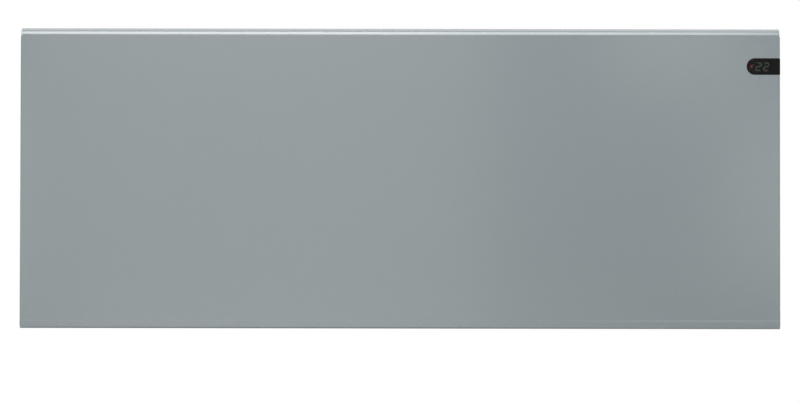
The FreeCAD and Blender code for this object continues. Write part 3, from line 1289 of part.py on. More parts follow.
def make_bracket():
    for name, centre in ARM_CENTRES.items():
        body = new_body(f"bracket_arm_{name}")
        half, inner = "arm_width / 2", "arm_width / 2 - arm_sheet"
        outer_x, inner_x = around(centre, half), around(centre, inner)
        pad(body, f"arm_channel_{name}", "XY", (ARM_LOW, ARM_HIGH), polygon(
            (outer_x[0], "0"), (outer_x[0], "-arm_depth"),
            (inner_x[0], "-arm_depth"), (inner_x[0], "-arm_sheet"),
            (inner_x[1], "-arm_sheet"), (inner_x[1], "-arm_depth"),
            (outer_x[1], "-arm_depth"), (outer_x[1], "0")))
        round_edges(body, f"arm_bends_{name}", "arm_bend", straight_along("Z", x=outer_x, y=["0"]))
        round_edges(body, f"arm_inner_bends_{name}", "max(arm_bend - arm_sheet; arm_sheet / 4)",
                    straight_along("Z", x=inner_x, y=["-arm_sheet"]))
        wall_holes = [(centre, f"{step} * wall_hole_spacing / 2") for step in (-1, 1)]
        plate = (f"-arm_sheet - {OVERCUT}", OVERCUT)
        pocket(body, f"arm_wall_holes_{name}", "XZ", plate, *holes(wall_holes, "wall_hole / 2"))
        pocket(body, f"arm_spring_hole_{name}", "XZ", plate, circle(centre, CATCH_Z, RIVET_HOLE))
        across = around(centre, f"{half} + {OVERCUT}")
        pocket(body, f"arm_pivot_holes_{name}", "YZ", across,
               circle(PIVOT_Y, PIVOT_Z, "pivot_pin + hole_clearance"))
        toward = -SIDES[name]
        flange = between(toward, f"{inner} - {OVERCUT}", f"{half} + {OVERCUT}")
        pocket(body, f"arm_bar_holes_{name}", "YZ", tuple(f"{centre} + {end}" for end in flange),
               *holes([(BAR_RIVET_Y, level) for level in BAR_LEVELS.values()], RIVET_HOLE))
    bars = []
    for name, level in BAR_LEVELS.items():
        tall = around(level, "crossbar_height / 2")
        strip = box(f"crossbar_strip_{name}", around("0", BAR_END), ("-arm_sheet", "0"), tall)
        tabs = [box(f"crossbar_tab_{name}_{end}", between(side, f"{BAR_END} - arm_sheet", BAR_END),
                    ("-crossbar_tab", "0"), tall) for end, side in SIDES.items()]
        tools = [rod(f"crossbar_hole_{name}", "X", around("0", f"{BAR_END} + {OVERCUT}"),
                     (BAR_RIVET_Y, level), RIVET_HOLE)]
        bars.append(cut(f"crossbar_{name}", fuse(f"crossbar_blank_{name}", strip, *tabs), *tools))
    group("bracket_crossbars", bars)
    flange_rivets = []
    for name, side in SIDES.items():
        stack = between(side, f"{BAR_END} - arm_sheet", f"{BAR_END} + arm_sheet")
        flange_rivets += rivets(f"bar_rivet_{name}", "X", stack,
                                [(BAR_RIVET_Y, level) for level in BAR_LEVELS.values()])
    spring_rivets = rivets("spring_rivet", "Y", ("-arm_sheet - spring_sheet", "0"),
                           [(centre, CATCH_Z) for centre in ARM_CENTRES.values()], flush=True)
    group("bracket_rivets", flange_rivets + spring_rivets)
    master = doc.addObject("PartDesign::Body", "pivot_pin_master")
    half = "(arm_width / 2)"
    far = [(half, "pivot_pin"), (half, "pivot_head"),
           (f"({half} + pivot_head_depth / 2)", "pivot_head"),
           (f"({half} + pivot_head_depth)", "pivot_head * 0.9"), (f"({half} + pivot_head_depth)", "0")]
    near = [(f"-{place}", radius) for place, radius in reversed(far)]
    turned(master, "pivot_pin_turned", "X", (PIVOT_Y, PIVOT_Z), near + far)
    group("pivot_pins", copies("pivot_pin", master, "x", [(centre,) for centre in ARM_CENTRES.values()]))


def make_catch_springs():
    seat, mouth = "(catch_pin + spring_seat_gap)", "(catch_pin - spring_grip)"
    plate = "(-arm_sheet - spring_sheet)"
    inner = [(f"{CATCH_Y} - 2 * catch_pin", f"{mouth} + spring_flare"),
             (f"{CATCH_Y} - {seat}", mouth), (CATCH_Y, seat),
             (f"{CATCH_Y} + catch_pin", f"{seat} + spring_seat_gap"), (plate, "2 * catch_pin")]
    outer = [(y, f"{level} + spring_sheet") for y, level in inner[:-1]]
    outer.append(("-arm_sheet", f"{inner[-1][1]} + spring_sheet"))
    upper = list(reversed(inner)) + outer
    lower = [(y, f"-({level})") for y, level in reversed(upper)]
    springs = []
    for name, centre in ARM_CENTRES.items():
        body = doc.addObject("PartDesign::Body", f"catch_spring_{name}")
        loop = [(y, f"{CATCH_Z} + {level}") for y, level in upper]
        loop += [(y, f"{CATCH_Z} + {level}") for y, level in lower]
        pad(body, f"spring_strip_{name}", "YZ", around(centre, "spring_half_width"), polygon(*loop))
        pocket(body, f"spring_hole_{name}", "XZ", (f"{plate} - {OVERCUT}", f"-arm_sheet + {OVERCUT}"),
               circle(centre, CATCH_Z, RIVET_HOLE))
        springs.append(body)
    group("catch_springs", springs)


def make_bumper_pads():
    pads = []
    for name, centre in ARM_CENTRES.items():
        for edge, step in (("near", -1), ("far", 1)):
            middle = f"{centre} + {step} * (arm_width / 2 - arm_sheet / 2)"
            tall = around("pad_level", "pad_length / 2")
            block = box(f"pad_block_{name}_{edge}", around(middle, "arm_sheet / 2 + pad_wall"),
                        (f"{REAR} + fit_gap", "-arm_depth + pad_bite"), tall)
            groove = box(f"pad_groove_{name}_{edge}", around(middle, "arm_sheet / 2 + hole_clearance"),
                         ("-arm_depth - hole_clearance", f"-arm_depth + pad_bite + {OVERCUT}"),
                         around("pad_level", f"pad_length / 2 + {OVERCUT}"))
            pads.append(cut(f"pad_{name}_{edge}", block, groove))
    group("bumper_pads", pads)


# Wires that the casing holds from end to end
def make_wires():
    gy, gz = GROMMET_PLACE
    pin_left = f"({ELEMENT_LEFT} - rod_overhang - pin_length - wire_radius)"
    pin_right = f"({ELEMENT_RIGHT} + rod_overhang + pin_length + wire_radius)"
    right_blade, left_blade = (f"({SHIELD_MIDDLE} + {step} * cutout_radius / 2)" for step in (1, -1))
    out = f"({RELAY_FACE} - 8)"
    tube("live_wire", "wire_radius", [
        (f"{PIECES_LEFT} + 6", RELAY_FACE, RELAY_Z), (f"{PIECES_LEFT} + 6", out, RELAY_Z),
        (f"{BAY_IN} + 10", f"{gy} - 4", f"{gz} + 26"), (f"{BAY_IN} + 8", f"{gy} - 1", f"{gz} + 1.5"),
        (f"{BAY} - 12", f"{gy} - 1", f"{gz} + 1.8"), (f"{BAY} - 40", f"{BLADE_TIP} - 8", f"{gz} + 40"),
        (f"{SHIELD_MIDDLE} + 60", f"{BLADE_TIP} - 8", "cutout_level + 12"),
        (right_blade, f"{BLADE_TIP} - 10", "cutout_level"), (right_blade, BLADE_TIP, "cutout_level")])
    tube("cutout_wire", "wire_radius", [
        (left_blade, BLADE_TIP, "cutout_level"), (left_blade, f"{BLADE_TIP} - 10", "cutout_level"),
        (f"{SHIELD_MIDDLE} - 60", f"{BLADE_TIP} - 8", "cutout_level + 12"),
        (f"{pin_left} + 30", f"{BLADE_TIP} - 8", "cutout_level - 10"),
        (pin_left, f"{ELEMENT_Y} - 3", "cutout_level - 50"),
        (pin_left, ELEMENT_Y, f"{ELEMENT_Z} + 20"), (pin_left, ELEMENT_Y, f"{ELEMENT_Z} - 3")])
    tube("neutral_wire", "wire_radius", [
        (f"{PIECES_LEFT} + 15", RELAY_FACE, RELAY_Z), (f"{PIECES_LEFT} + 15", out, RELAY_Z),
        (f"{BAY_IN} + 22", f"{out} - 3", f"{gz} + 32"), (f"{BAY_IN} + 10", f"{gy} + 2", f"{gz} - 1.5"),
        (f"{BAY} - 8", f"{gy} + 1", f"{gz} - 1.8"), (pin_right, ELEMENT_Y, f"{gz} - 14"),
        (pin_right, ELEMENT_Y, f"{ELEMENT_Z} - 3")])
    block_left = f"({INLET_X} - block_half_width)"
    block_y, block_z = f"({REAR_IN} - block_depth / 2)", f"({BLOCK_LOW} + block_height / 2)"
    earth_x, earth_z = EARTH_PLACE
    tube("earth_wire", "wire_radius", [
        (block_left, block_y, block_z), (f"{block_left} - 8", block_y, block_z),
        (earth_x, f"{REAR_IN} - 13", f"{earth_z} + 8"),
        (earth_x, f"{REAR} - screw_length - 5", earth_z), (earth_x, f"{REAR} - screw_length", earth_z)])
    lead_x = f"({BUTTON_BOARD_BACK} - carrier_wall - 8)"
    carrier_back = f"({DISPLAY_BOARD_BACK} + carrier_wall)"
    top_z = "(board_middle + board_height / 2 - 3)"
    tube("display_lead", "wire_radius", [
        (lead_x, carrier_back, LENS_Z), (lead_x, f"{carrier_back} + 14", LENS_Z),
        (f"{lead_x} - 3", f"{BOARD_FACE} - 12", f"{LENS_Z} - 30"),
        (f"{lead_x} - 14", f"{BOARD_FACE} - 12", f"{top_z} + 16"),
        (f"{lead_x} - 16", f"{BOARD_FACE} - 10", top_z), (f"{lead_x} - 16", BOARD_FACE, f"{top_z} - 2")])


def make_fasteners(cutout_rivets):
    top, low = ([(x, SCREW_LINE) for x in row] for row in (TOP_SCREWS, LOW_SCREWS))
    group("casing_screws", screws("casing_screw_top", "Z", HALF_HEIGHT, 1, top)
          + screws("casing_screw_low", "Z", f"-{HALF_HEIGHT}", -1, low))
    group("end_cap_screws", screws("end_cap_screw", "Y", REAR, 1, CAP_SCREWS))
    stacks = [
        ("saddle_rivet", (REAR_IN, f"{REAR} + saddle_sheet"), SADDLE_RIVETS),
        ("keeper_rivet", (REAR_IN, f"{REAR} + keeper_sheet"), KEEPER_RIVETS),
        ("shield_rivet", (f"{REAR_IN} - shield_sheet", REAR), SHIELD_RIVETS),
        ("hanger_rivet", (f"{REAR_IN} - hanger_sheet", REAR), HANGER_RIVETS),
        ("partition_rivet", (f"{REAR_IN} - partition_sheet", REAR), PARTITION_RIVETS),
    ]
    members = list(cutout_rivets)
    for name, span, places in stacks:
        members += rivets(name, "Y", span, places)
    group("chassis_rivets", members)


make_front_panel()
make_rear_panel()
make_grille("outlet_grille", GRILLE_BACK, GRILLE_END, TOP_SCREWS)
make_grille("inlet_grille", f"-{GRILLE_FACE}", f"{BAY} - fit_gap", LOW_SCREWS[:4])
for side_name, side_sign in SIDES.items():
    make_end_cap(side_name, side_sign)
make_lens()
make_display()
make_keys()
make_mains_switch()
make_element()
cutout_rivet_links = make_shield()
make_partition()
make_power_board()
make_terminals()
make_inlet()
make_hanging_parts()
make_bracket()
make_catch_springs()
make_bumper_pads()
make_wires()
make_fasteners(cutout_rivet_links)
doc.recompute()

# Nothing is written unless every object and every sub-part is sound
for entry in doc.Objects:
    if "Invalid" in entry.State or "Error" in entry.State:
        raise RuntimeError(f"{entry.Label} failed: {entry.State}")
for entry in SUBPARTS:
    if entry.Shape.isNull() or not entry.Shape.isValid() or not entry.Shape.Solids:
        raise RuntimeError(f"{entry.Label} has no sound solid")

os.makedirs("parts", exist_ok=True)
for entry in SUBPARTS:
    entry.Shape.exportStep(f"parts/{entry.Label}.step")
print(f"wrote {len(SUBPARTS)} sub-parts")
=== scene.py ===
# %% [markdown]
# # An electric panel heater
# A flat heater for a wall: a folded steel front, moulded end caps, slotted air grilles, a smoked
# window with a lit number, and a steel bracket behind. The solids come from CAD with every size
# right, so this lesson loads them as a frame that stays put, and then dresses them: finishes for
# every piece, and modelled pieces where bent sheet, pressed metal or moulding needs a finer shape.

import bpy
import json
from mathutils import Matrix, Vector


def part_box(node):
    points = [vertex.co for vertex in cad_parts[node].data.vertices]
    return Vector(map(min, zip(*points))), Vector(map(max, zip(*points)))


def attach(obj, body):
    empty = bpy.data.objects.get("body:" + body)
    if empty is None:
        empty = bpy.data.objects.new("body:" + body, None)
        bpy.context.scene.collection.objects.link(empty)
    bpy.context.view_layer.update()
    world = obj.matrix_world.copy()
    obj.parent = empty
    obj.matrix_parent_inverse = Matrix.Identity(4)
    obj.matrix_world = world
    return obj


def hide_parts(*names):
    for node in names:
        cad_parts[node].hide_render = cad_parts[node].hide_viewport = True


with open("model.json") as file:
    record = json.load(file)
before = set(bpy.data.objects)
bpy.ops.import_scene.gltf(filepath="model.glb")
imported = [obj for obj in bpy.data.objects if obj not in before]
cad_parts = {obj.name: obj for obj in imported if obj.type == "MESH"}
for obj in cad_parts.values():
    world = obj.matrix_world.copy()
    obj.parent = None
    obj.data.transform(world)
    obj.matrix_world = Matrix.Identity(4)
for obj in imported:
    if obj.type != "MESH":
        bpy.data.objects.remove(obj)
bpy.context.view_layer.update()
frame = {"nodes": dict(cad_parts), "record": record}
nodes = frame["nodes"]

# %% [markdown]
# ## Tools and units
# Blender counts in metres and a maker's drawing in millimetres, so one small helper turns lengths
# and points from the one into the other. The Standard view shows a colour about as it is written,
# so the finishes below can be judged by eye.

# %% Blender's tools, and a millimetre
import json
import math

import bmesh
import bpy
from mathutils import Matrix, Quaternion, Vector
from mathutils.bvhtree import BVHTree

MM = 0.001
scene = bpy.context.scene
scene.view_settings.view_transform = "Standard"


def mm(*lengths):
    """Millimetres as metres: one number, or a point."""
    return lengths[0] * MM if len(lengths) == 1 else Vector(lengths) * MM


def loose(name, data):
    """A new object in the scene, with its mesh, lamp, camera or curve."""
    item = bpy.data.objects.new(name, data)
    scene.collection.objects.link(item)
    return item


# %% [markdown]
# ## The camera
# The photograph is taken from straight ahead with a long lens, from a little below the middle of
# the heater. A long lens far away keeps the panel's edges almost parallel. The place, tilt and
# lens below make the panel's four edges fall where they do in the picture, to about half a pixel.

# %% Camera
CAMERA_PLACE = Vector((0.0023, -3.0843, -0.0953))
CAMERA_LENS, CAMERA_SENSOR = 115.4, 36
CAMERA_PITCH = math.radians(1.309)
CAMERA_YAW = math.radians(-0.046)
CAMERA_ROLL = math.radians(0.099)

camera = loose("camera", bpy.data.cameras.new("camera"))
scene.camera = camera
camera.data.lens = CAMERA_LENS
camera.data.sensor_width = CAMERA_SENSOR
look = Vector((math.sin(CAMERA_YAW) * math.cos(CAMERA_PITCH),
               math.cos(CAMERA_YAW) * math.cos(CAMERA_PITCH), math.sin(CAMERA_PITCH)))
camera.rotation_mode = "QUATERNION"
camera.rotation_quaternion = look.to_track_quat("-Z", "Y") @ Quaternion((0, 0, 1), CAMERA_ROLL)
camera.location = CAMERA_PLACE
print("camera:", round(CAMERA_PLACE.length, 2), "m away, lens", CAMERA_LENS, "mm")

# %% [markdown]
# ## Shader maths as plain sums
# A finish is a small calculation that runs at every point of a surface. In Blender it is a tree of
# nodes, and a sum of three things takes two Math nodes and three wires. Wrapping a socket in a
# class that knows `+`, `-`, `*` lets the calculation be written as one line, and Python adds the
# nodes.

# %% Values
def plug(entry, thing):
    """Wires a value to a socket, or sets the socket where the thing is a plain number or colour."""
    if isinstance(thing, Value):
        entry.id_data.links.new(thing.socket, entry)
    else:
        entry.default_value = thing


class Value:
    """A number, colour or place that changes over a surface."""

    def __init__(self, socket):
        self.socket = socket

    def math(self, operation, *terms):
        node = self.socket.node.id_data.nodes.new("ShaderNodeMath")
        node.operation = operation
        for entry, term in zip(node.inputs, terms):
            plug(entry, term)
        return Value(node.outputs[0])

    def __add__(self, other):
        return self.math("ADD", self, other)

    def __sub__(self, other):
        return self.math("SUBTRACT", self, other)

    def __rsub__(self, other):
        return self.math("SUBTRACT", other, self)

    def __mul__(self, other):
        return self.math("MULTIPLY", self, other)

    def __gt__(self, other):
        return self.math("GREATER_THAN", self, other)

    def __lt__(self, other):
        return self.math("LESS_THAN", self, other)

    def __abs__(self):
        return self.math("ABSOLUTE", self)

    __radd__, __rmul__ = __add__, __mul__

    def fraction(self):
        return self.math("FRACT", self)


print("values know + - * < > abs and the fraction")

# %% [markdown]
# ## Every other node
# Noise, cells, mixes and shaders are nodes too. One method adds any of them: it takes the node's
# kind, its settings, what goes into its sockets, and which output is wanted. The world and every
# material own one such tree. Colours are given as on a paint chart and worked into linear light.

# %% Trees and colours
class Tree:
    """The nodes of a material or of the world."""

    def __init__(self, owner):
        owner.use_nodes = True
        self.nodes = owner.node_tree.nodes
        self.nodes.clear()

    def node(self, kind, settings=None, sockets=None, out=0):
        """Adds a node with its settings and sockets, and gives one of its outputs."""
        node = self.nodes.new("ShaderNode" + kind)
        for name, setting in (settings or {}).items():
            if name == "stops":
                while len(node.color_ramp.elements) < len(setting):
                    node.color_ramp.elements.new(1)
                for stop, (place, colour) in zip(node.color_ramp.elements, setting):
                    stop.position, stop.color = place, colour
            else:
                setattr(node, name, setting)
        for name, thing in (sockets or {}).items():
            plug(node.inputs[name], thing)
        return Value(node.outputs[out]) if node.outputs else None


def grey(level):
    """A shade of grey as a colour, in linear light."""
    return (level, level, level, 1)


def tint(red, green, blue):
    """A colour as a paint chart gives it, 0 to 255 in each channel, as linear light."""
    def linear(share):
        return share / 12.92 if share <= 0.04045 else ((share + 0.055) / 1.055) ** 2.4
    return tuple(linear(channel / 255) for channel in (red, green, blue)) + (1,)


print("chart grey 128 is", round(tint(128, 128, 128)[0], 3), "in linear light")

# %% [markdown]
# ## A finish
# A finish is a material with one main shader and a few habits: noise in clouds, cells like
# crystals or specks, a stretch along one way, a slow push of the place, a mix of two colours, and
# a bump. Noise runs in CAD metres, so a grain of half a millimetre is that on every piece. Each
# finish is listed under its name, which is that of the material slot it is for.

# %% Finishes
FINISHES = {}


class Finish(Tree):
    """A material with one main shader. Places on it are in the CAD frame, in metres."""

    def __init__(self, name, **sockets):
        FINISHES[name] = self
        self.material = bpy.data.materials.new(name)
        super().__init__(self.material)
        self.place = self.node("TexCoord", out="Object")
        self.main = self.node("BsdfPrincipled")
        self.node("OutputMaterial")
        self.show(self.main)
        self.set(**sockets)

    def show(self, shader):
        """Makes a shader the one that the surface shows."""
        plug(self.nodes["Material Output"].inputs["Surface"], shader)

    def set(self, **sockets):
        """Sets or wires sockets of the main shader."""
        for name, thing in sockets.items():
            plug(self.main.socket.node.inputs[name.replace("_", " ")], thing)
        return self

    def stretched(self, *scale, place=None):
        """The place, scaled along each axis."""
        return self.node("Mapping", {}, {"Vector": place or self.place, "Scale": scale})

    def noise(self, size, detail=2, place=None, rough=0.5, out=0):
        """Noise in clouds of a size, in metres."""
        return self.node("TexNoise", {}, {"Vector": place or self.place, "Scale": 1 / size,
                                          "Detail": detail, "Roughness": rough}, out)

    def cells(self, size, out="Distance", place=None):
        """A pattern of random cells of a size, in metres."""
        return self.node("TexVoronoi", {}, {"Vector": place or self.place, "Scale": 1 / size}, out)

    def flakes(self, size, place=None, channel="Red"):
        """One random number for each cell."""
        return self.node("SeparateColor", {}, {"Color": self.cells(size, "Color", place)}, channel)

    def along(self, axis):
        """The place along one axis."""
        return self.node("SeparateXYZ", {}, {"Vector": self.place}, axis)

    def away(self, core):
        """The distance from a point, in metres."""
        return self.node("VectorMath", {"operation": "DISTANCE"}, {0: self.place, 1: core}, "Value")

    def wander(self, size, reach):
        """The place, pushed about by noise."""
        return self.node("VectorMath", {"operation": "MULTIPLY_ADD"},
                         {0: self.noise(size, out="Color"), 1: (reach, reach, reach), 2: self.place})

    def mix(self, share, first, second):
        """A mix of two colours, by the share of the second."""
        return self.node("Mix", {"data_type": "RGBA"}, {0: share, 6: first, 7: second}, 2)

    def spread(self, value, low, high, start=0.0, end=1.0):
        """The value, stretched so that low and high become start and end, and held there."""
        return self.node("MapRange", {}, {"Value": value, "From Min": low, "From Max": high,
                                          "To Min": start, "To Max": end})

    def bump(self, height, depth):
        """Raises the surface by a depth in millimetres where the height is 1."""
        self.set(Normal=self.node("Bump", {}, {"Height": height, "Distance": mm(depth)}))
        return self


print("finish tools ready")

# %% [markdown]
# ## The studio
# The picture has a pure white ground and soft light from above, a little to the left. The world is
# white to the camera, to reflections and through glass, and a weaker grey to everything else, so
# it fills the shadows without washing the colours out. The lamps come next.

# %% World
AMBIENT, AMBIENT_COLOUR = 0.17, (0.98, 1.0, 1.0, 1)

world = bpy.data.worlds.new("studio")
scene.world = world
studio = Tree(world)
looks = [studio.node("LightPath", out=f"Is {kind} Ray") for kind in ("Camera", "Glossy", "Transmission")]
seen = looks[0] + looks[1] + looks[2]
fill = studio.node("Background", {}, {"Color": AMBIENT_COLOUR, "Strength": AMBIENT})
white = studio.node("Background", {}, {"Color": grey(1), "Strength": 1.0})
shown = studio.node("MixShader", {}, {0: seen, 1: fill, 2: white})
studio.node("OutputWorld", {}, {"Surface": shown})
print("world: ambient", AMBIENT)

# %% [markdown]
# ## The lamps
# Two high softboxes in front, the second on the left only, make most of the light. Their
# reflection is the bright line along the top fold, which fades to the right. They hang so high
# that the flat top doesn't mirror them to a viewer behind. One lamp overhead lights the top and
# the back, two weak ones stand behind at the sides, and two low ones light the end caps from below
# the level of the top. A lamp's radiance is its power over pi times its area, so giving the
# radiance instead of the power keeps each lamp's brightness when its size is changed.

# %% Softboxes
def softbox(name, place, aim, width, height, radiance):
    """A flat lamp at a place, facing the point it is aimed at."""
    lamp = bpy.data.lights.new(name, "AREA")
    lamp.shape = "RECTANGLE"
    lamp.size, lamp.size_y = width, height
    lamp.energy = radiance * math.pi * width * height
    item = loose(name, lamp)
    item.location = place
    item.rotation_mode = "QUATERNION"
    item.rotation_quaternion = (Vector(aim) - Vector(place)).to_track_quat("-Z", "Y")
    item.visible_camera = False


softbox("key_softbox", (-0.03, -1.99, 2.35), (-0.03, -0.08, 0.17), 1.90, 2.2, 4.8)
softbox("key_left_half", (-0.55, -1.94, 2.29), (-0.55, -0.08, 0.17), 1.3, 2.14, 2.3)
softbox("overhead_softbox", (0.0, 0.40, 2.2), (0.0, 0.0, 0.1), 2.4, 1.6, 1.35)
for name, side in (("side_left_softbox", -1), ("side_right_softbox", 1)):
    softbox(name, (side * 2.5, 1.3, 0.6), (0.0, 0.0, 0.0), 2.6, 2.4, 0.5)
for name, side in (("left_end_softbox", -1), ("right_end_softbox", 1)):
    softbox(name, (side * 2.4, -0.1, -0.12), (0.0, -0.1, -0.12), 1.8, 0.5, 1.7)

# %% [markdown]
# ## The light on the face
# The face mirrors what stands behind the camera, softly, as satin paint does. Weak panels there
# show as the faint lighter patches of the face, and one low strip as the lighter band at its foot.

# %% Panels behind the camera
FILL_LINE, FOOT_FILL_LINE = -3.7, -3.6


def fill_panel(name, left, right, low, high, radiance, line=FILL_LINE):
    """An upright panel behind the camera, facing the heater."""
    middle = ((left + right) / 2, line, (low + high) / 2)
    softbox(name, middle, (middle[0], 0, middle[2]), right - left, high - low, radiance)


fill_panel("left_fill", -0.88, 0.234, -0.52, 0.38, 0.92)
fill_panel("left_high_fill", -1.00, 0.234, 0.38, 1.69, 1.15)
fill_panel("right_fill", 0.83, 1.45, -0.17, 0.28, 1.35)
fill_panel("corner_fill", 0.54, 0.89, 0.34, 0.8, 1.6)
fill_panel("edge_fill", -1.20, -0.93, -0.24, 0.36, 1.5)
fill_panel("foot_fill", -1.10, 0.62, -0.36, -0.21, 0.7, FOOT_FILL_LINE)

# %% [markdown]
# ## The floor
# A wall heater hangs about 22 cm above the floor. The floor here is a pale plane that keeps the
# shadow, and turns to plain white away from the heater, so that its edge never shows as a line.

# %% Floor
FLOOR_LEVEL, FLOOR_HALF, FLOOR_BACK = -0.40, 2.6, 1.3
FADE_START, FADE_END, FADE_SQUEEZE = 0.5, 1.2, 0.55

floor_rim = [(-FLOOR_HALF, -FLOOR_HALF), (FLOOR_HALF, -FLOOR_HALF),
             (FLOOR_HALF, FLOOR_BACK), (-FLOOR_HALF, FLOOR_BACK)]
floor_mesh = bpy.data.meshes.new("floor")
floor_mesh.from_pydata([(x, y, FLOOR_LEVEL) for x, y in floor_rim], [], [(0, 1, 2, 3)])
floor = loose("floor", floor_mesh)

ground = Finish("floor_pale", Roughness=0.9, Specular_IOR_Level=0.0)
ground.set(Base_Color=ground.mix(ground.noise(0.03, 4), grey(0.78), grey(0.82)))
flat_place = ground.stretched(FADE_SQUEEZE, 1.0, 0.0)
far_out = ground.node("VectorMath", {"operation": "LENGTH"}, {0: flat_place}, "Value")
glow = ground.node("Emission", {}, {"Color": grey(1), "Strength": 1.0})
pale = ground.spread(far_out, FADE_START, FADE_END) * ground.node("LightPath", out="Is Camera Ray")
ground.show(ground.node("MixShader", {}, {0: pale, 1: ground.main, 2: glow}))
floor_mesh.materials.append(ground.material)
print("floor at", FLOOR_LEVEL, "m")

# %% [markdown]
# ## Casing paint
# The front and the grilles share a satin powder coat in a cool grey. It is never quite even: a
# very slow drift of tone, a fine grain, a few dark specks of dust caught in the oven, and the
# faint dimpling called orange peel. A clear coat on top gives the soft reflections.

# %% Casing paint
DRIFT_SIZE, GRAIN_SIZE, PEEL_SIZE, PEEL_DEPTH = 0.30, mm(1.6), mm(2.2), 0.02
SPECK_ROOM, SPECK_SIZE, SPECK_CHANCE = mm(45), 0.011, 0.045


def casing_paint():
    paint = Finish("casing_paint", Coat_Weight=1.0, Coat_Roughness=0.14)
    drift = paint.noise(DRIFT_SIZE, 1)
    grain = paint.noise(GRAIN_SIZE, 3)
    chosen = paint.flakes(SPECK_ROOM) > 1 - SPECK_CHANCE
    specks = (paint.cells(SPECK_ROOM) < SPECK_SIZE) * chosen
    body = paint.mix(drift, tint(113, 123, 126), tint(116, 127, 130))
    body = paint.mix(paint.spread(grain, 0.3, 0.7) * 0.35, body, tint(107, 117, 120))
    paint.set(Base_Color=paint.mix(specks * 0.6, body, tint(70, 74, 76)),
              Roughness=paint.spread(grain, 0.2, 0.8, 0.27, 0.33))
    paint.bump(paint.noise(PEEL_SIZE, 2), PEEL_DEPTH)


casing_paint()
print("finish: casing paint, peel", round(PEEL_SIZE / MM, 1), "mm")

# %% [markdown]
# ## Moulded plastics and rubber
# A moulding takes its skin from the mould: spark-eroded steel leaves a fine even grain, polished
# steel leaves gloss, and both leave slow clouds where the plastic flowed. One recipe makes them
# all, with the two shades, the roughness, and the grain's size and depth as its settings.

# %% Moulded finishes
FLOW_SIZE = mm(40)


def moulded(name, colour, shade, roughness, grain, depth):
    """A moulding in two chart colours, with a grain of a size and depth in millimetres."""
    plastic = Finish(name)
    skin = plastic.noise(mm(grain), 3)
    flow = plastic.noise(FLOW_SIZE, 2)
    cloud = plastic.spread(flow * 0.6 + skin * 0.4, 0.3, 0.7)
    plastic.set(Base_Color=plastic.mix(cloud, tint(*shade), tint(*colour)),
                Roughness=plastic.spread(skin, 0.3, 0.7, roughness - 0.06, roughness + 0.06))
    return plastic.bump(skin, depth)


moulded("cap_plastic", (124, 133, 136), (115, 123, 126), 0.50, 0.55, 0.10)
moulded("black_plastic", (44, 44, 46), (34, 34, 36), 0.48, 0.5, 0.07)
moulded("key_plastic", (58, 59, 61), (50, 51, 53), 0.42, 0.4, 0.015)
moulded("rocker_plastic", (30, 30, 32), (24, 24, 26), 0.16, 1.5, 0.004)
moulded("soft_rubber", (52, 51, 50), (38, 38, 38), 0.78, 0.5, 0.05)
moulded("white_plastic", (228, 226, 218), (214, 211, 200), 0.44, 0.8, 0.02)
moulded("white_ceramic", (234, 230, 220), (222, 216, 203), 0.30, 0.5, 0.02).set(Coat_Weight=0.8)
print("finishes: moulded plastics, rubber and ceramic")

# %% [markdown]
# ## Zinc-coated sheet
# The rear panel and the bracket are cut from steel that went through a zinc bath. The zinc freezes
# into crystals, called spangle, each with its own shade and with frost-like streaks that lie its
# own way. A texture of cells gives the crystals: every cell has one random number, which sets its
# shade and turns the streaks inside it. Pushing the place about with noise first makes the borders
# feathery instead of straight.

# %% Zinc finishes
SLANT = (0.577, 0.577, 0.577)
ZINC_CLOUD = mm(110)


def zinc(name, bright, dull, spangle):
    """Zinc-coated steel in two chart colours, with crystals of a size in metres."""
    sheet = Finish(name, Metallic=1.0)
    place = sheet.wander(spangle * 0.35, spangle * 0.6)
    crystal = sheet.flakes(spangle, place)
    small = sheet.flakes(spangle * 0.45, place, "Green")
    lie = sheet.node("VectorRotate", {}, {"Vector": sheet.place, "Axis": SLANT,
                                          "Angle": crystal * math.tau})
    frost = sheet.noise(spangle * 0.12, 3, sheet.stretched(1, 0.12, 1, place=lie), 0.6)
    cloud = sheet.noise(ZINC_CLOUD, 3)
    shade = sheet.spread(crystal * 0.30 + small * 0.16 + frost * 0.40 + cloud * 0.45, 0.40, 0.95)
    sheet.set(Base_Color=sheet.mix(shade, tint(*dull), tint(*bright)),
              Roughness=sheet.spread(small * 0.5 + frost * 0.5, 0.2, 0.8, 0.36, 0.50))
    sheet.bump(frost, 0.006)


zinc("rear_sheet", (190, 194, 198), (154, 160, 166), mm(8))
zinc("bracket_steel", (172, 175, 181), (132, 137, 145), mm(5))
zinc("bright_steel", (206, 206, 208), (176, 176, 180), mm(3))
print("finishes: zinc sheets")

# %% [markdown]
# ## Other metals
# Spring strip is blued by heat and shifts between straw and blue. Extruded aluminium has lines
# along the die, rolled aluminium is brighter, and the element's sheath has heat colours where it
# ran hot. Brass dulls in clouds. Each is a metal with lines in one direction and a second tone.

# %% Metal finishes
LINE_SIZE = mm(1.2)


def lined_metal(name, bright, dull, roughness, squeeze, tone_size):
    """A metal in two chart colours. A squeeze below 1 draws its lines out along the width."""
    metal = Finish(name, Metallic=1.0)
    die = metal.noise(LINE_SIZE, 3, metal.stretched(squeeze, 1, 1))
    tone = metal.spread(metal.noise(tone_size, 3), 0.35, 0.65)
    metal.set(Base_Color=metal.mix(tone * 0.7 + die * 0.3, tint(*dull), tint(*bright)),
              Roughness=metal.spread(die, 0.25, 0.75, roughness - 0.08, roughness + 0.08))
    metal.bump(die, 0.012)


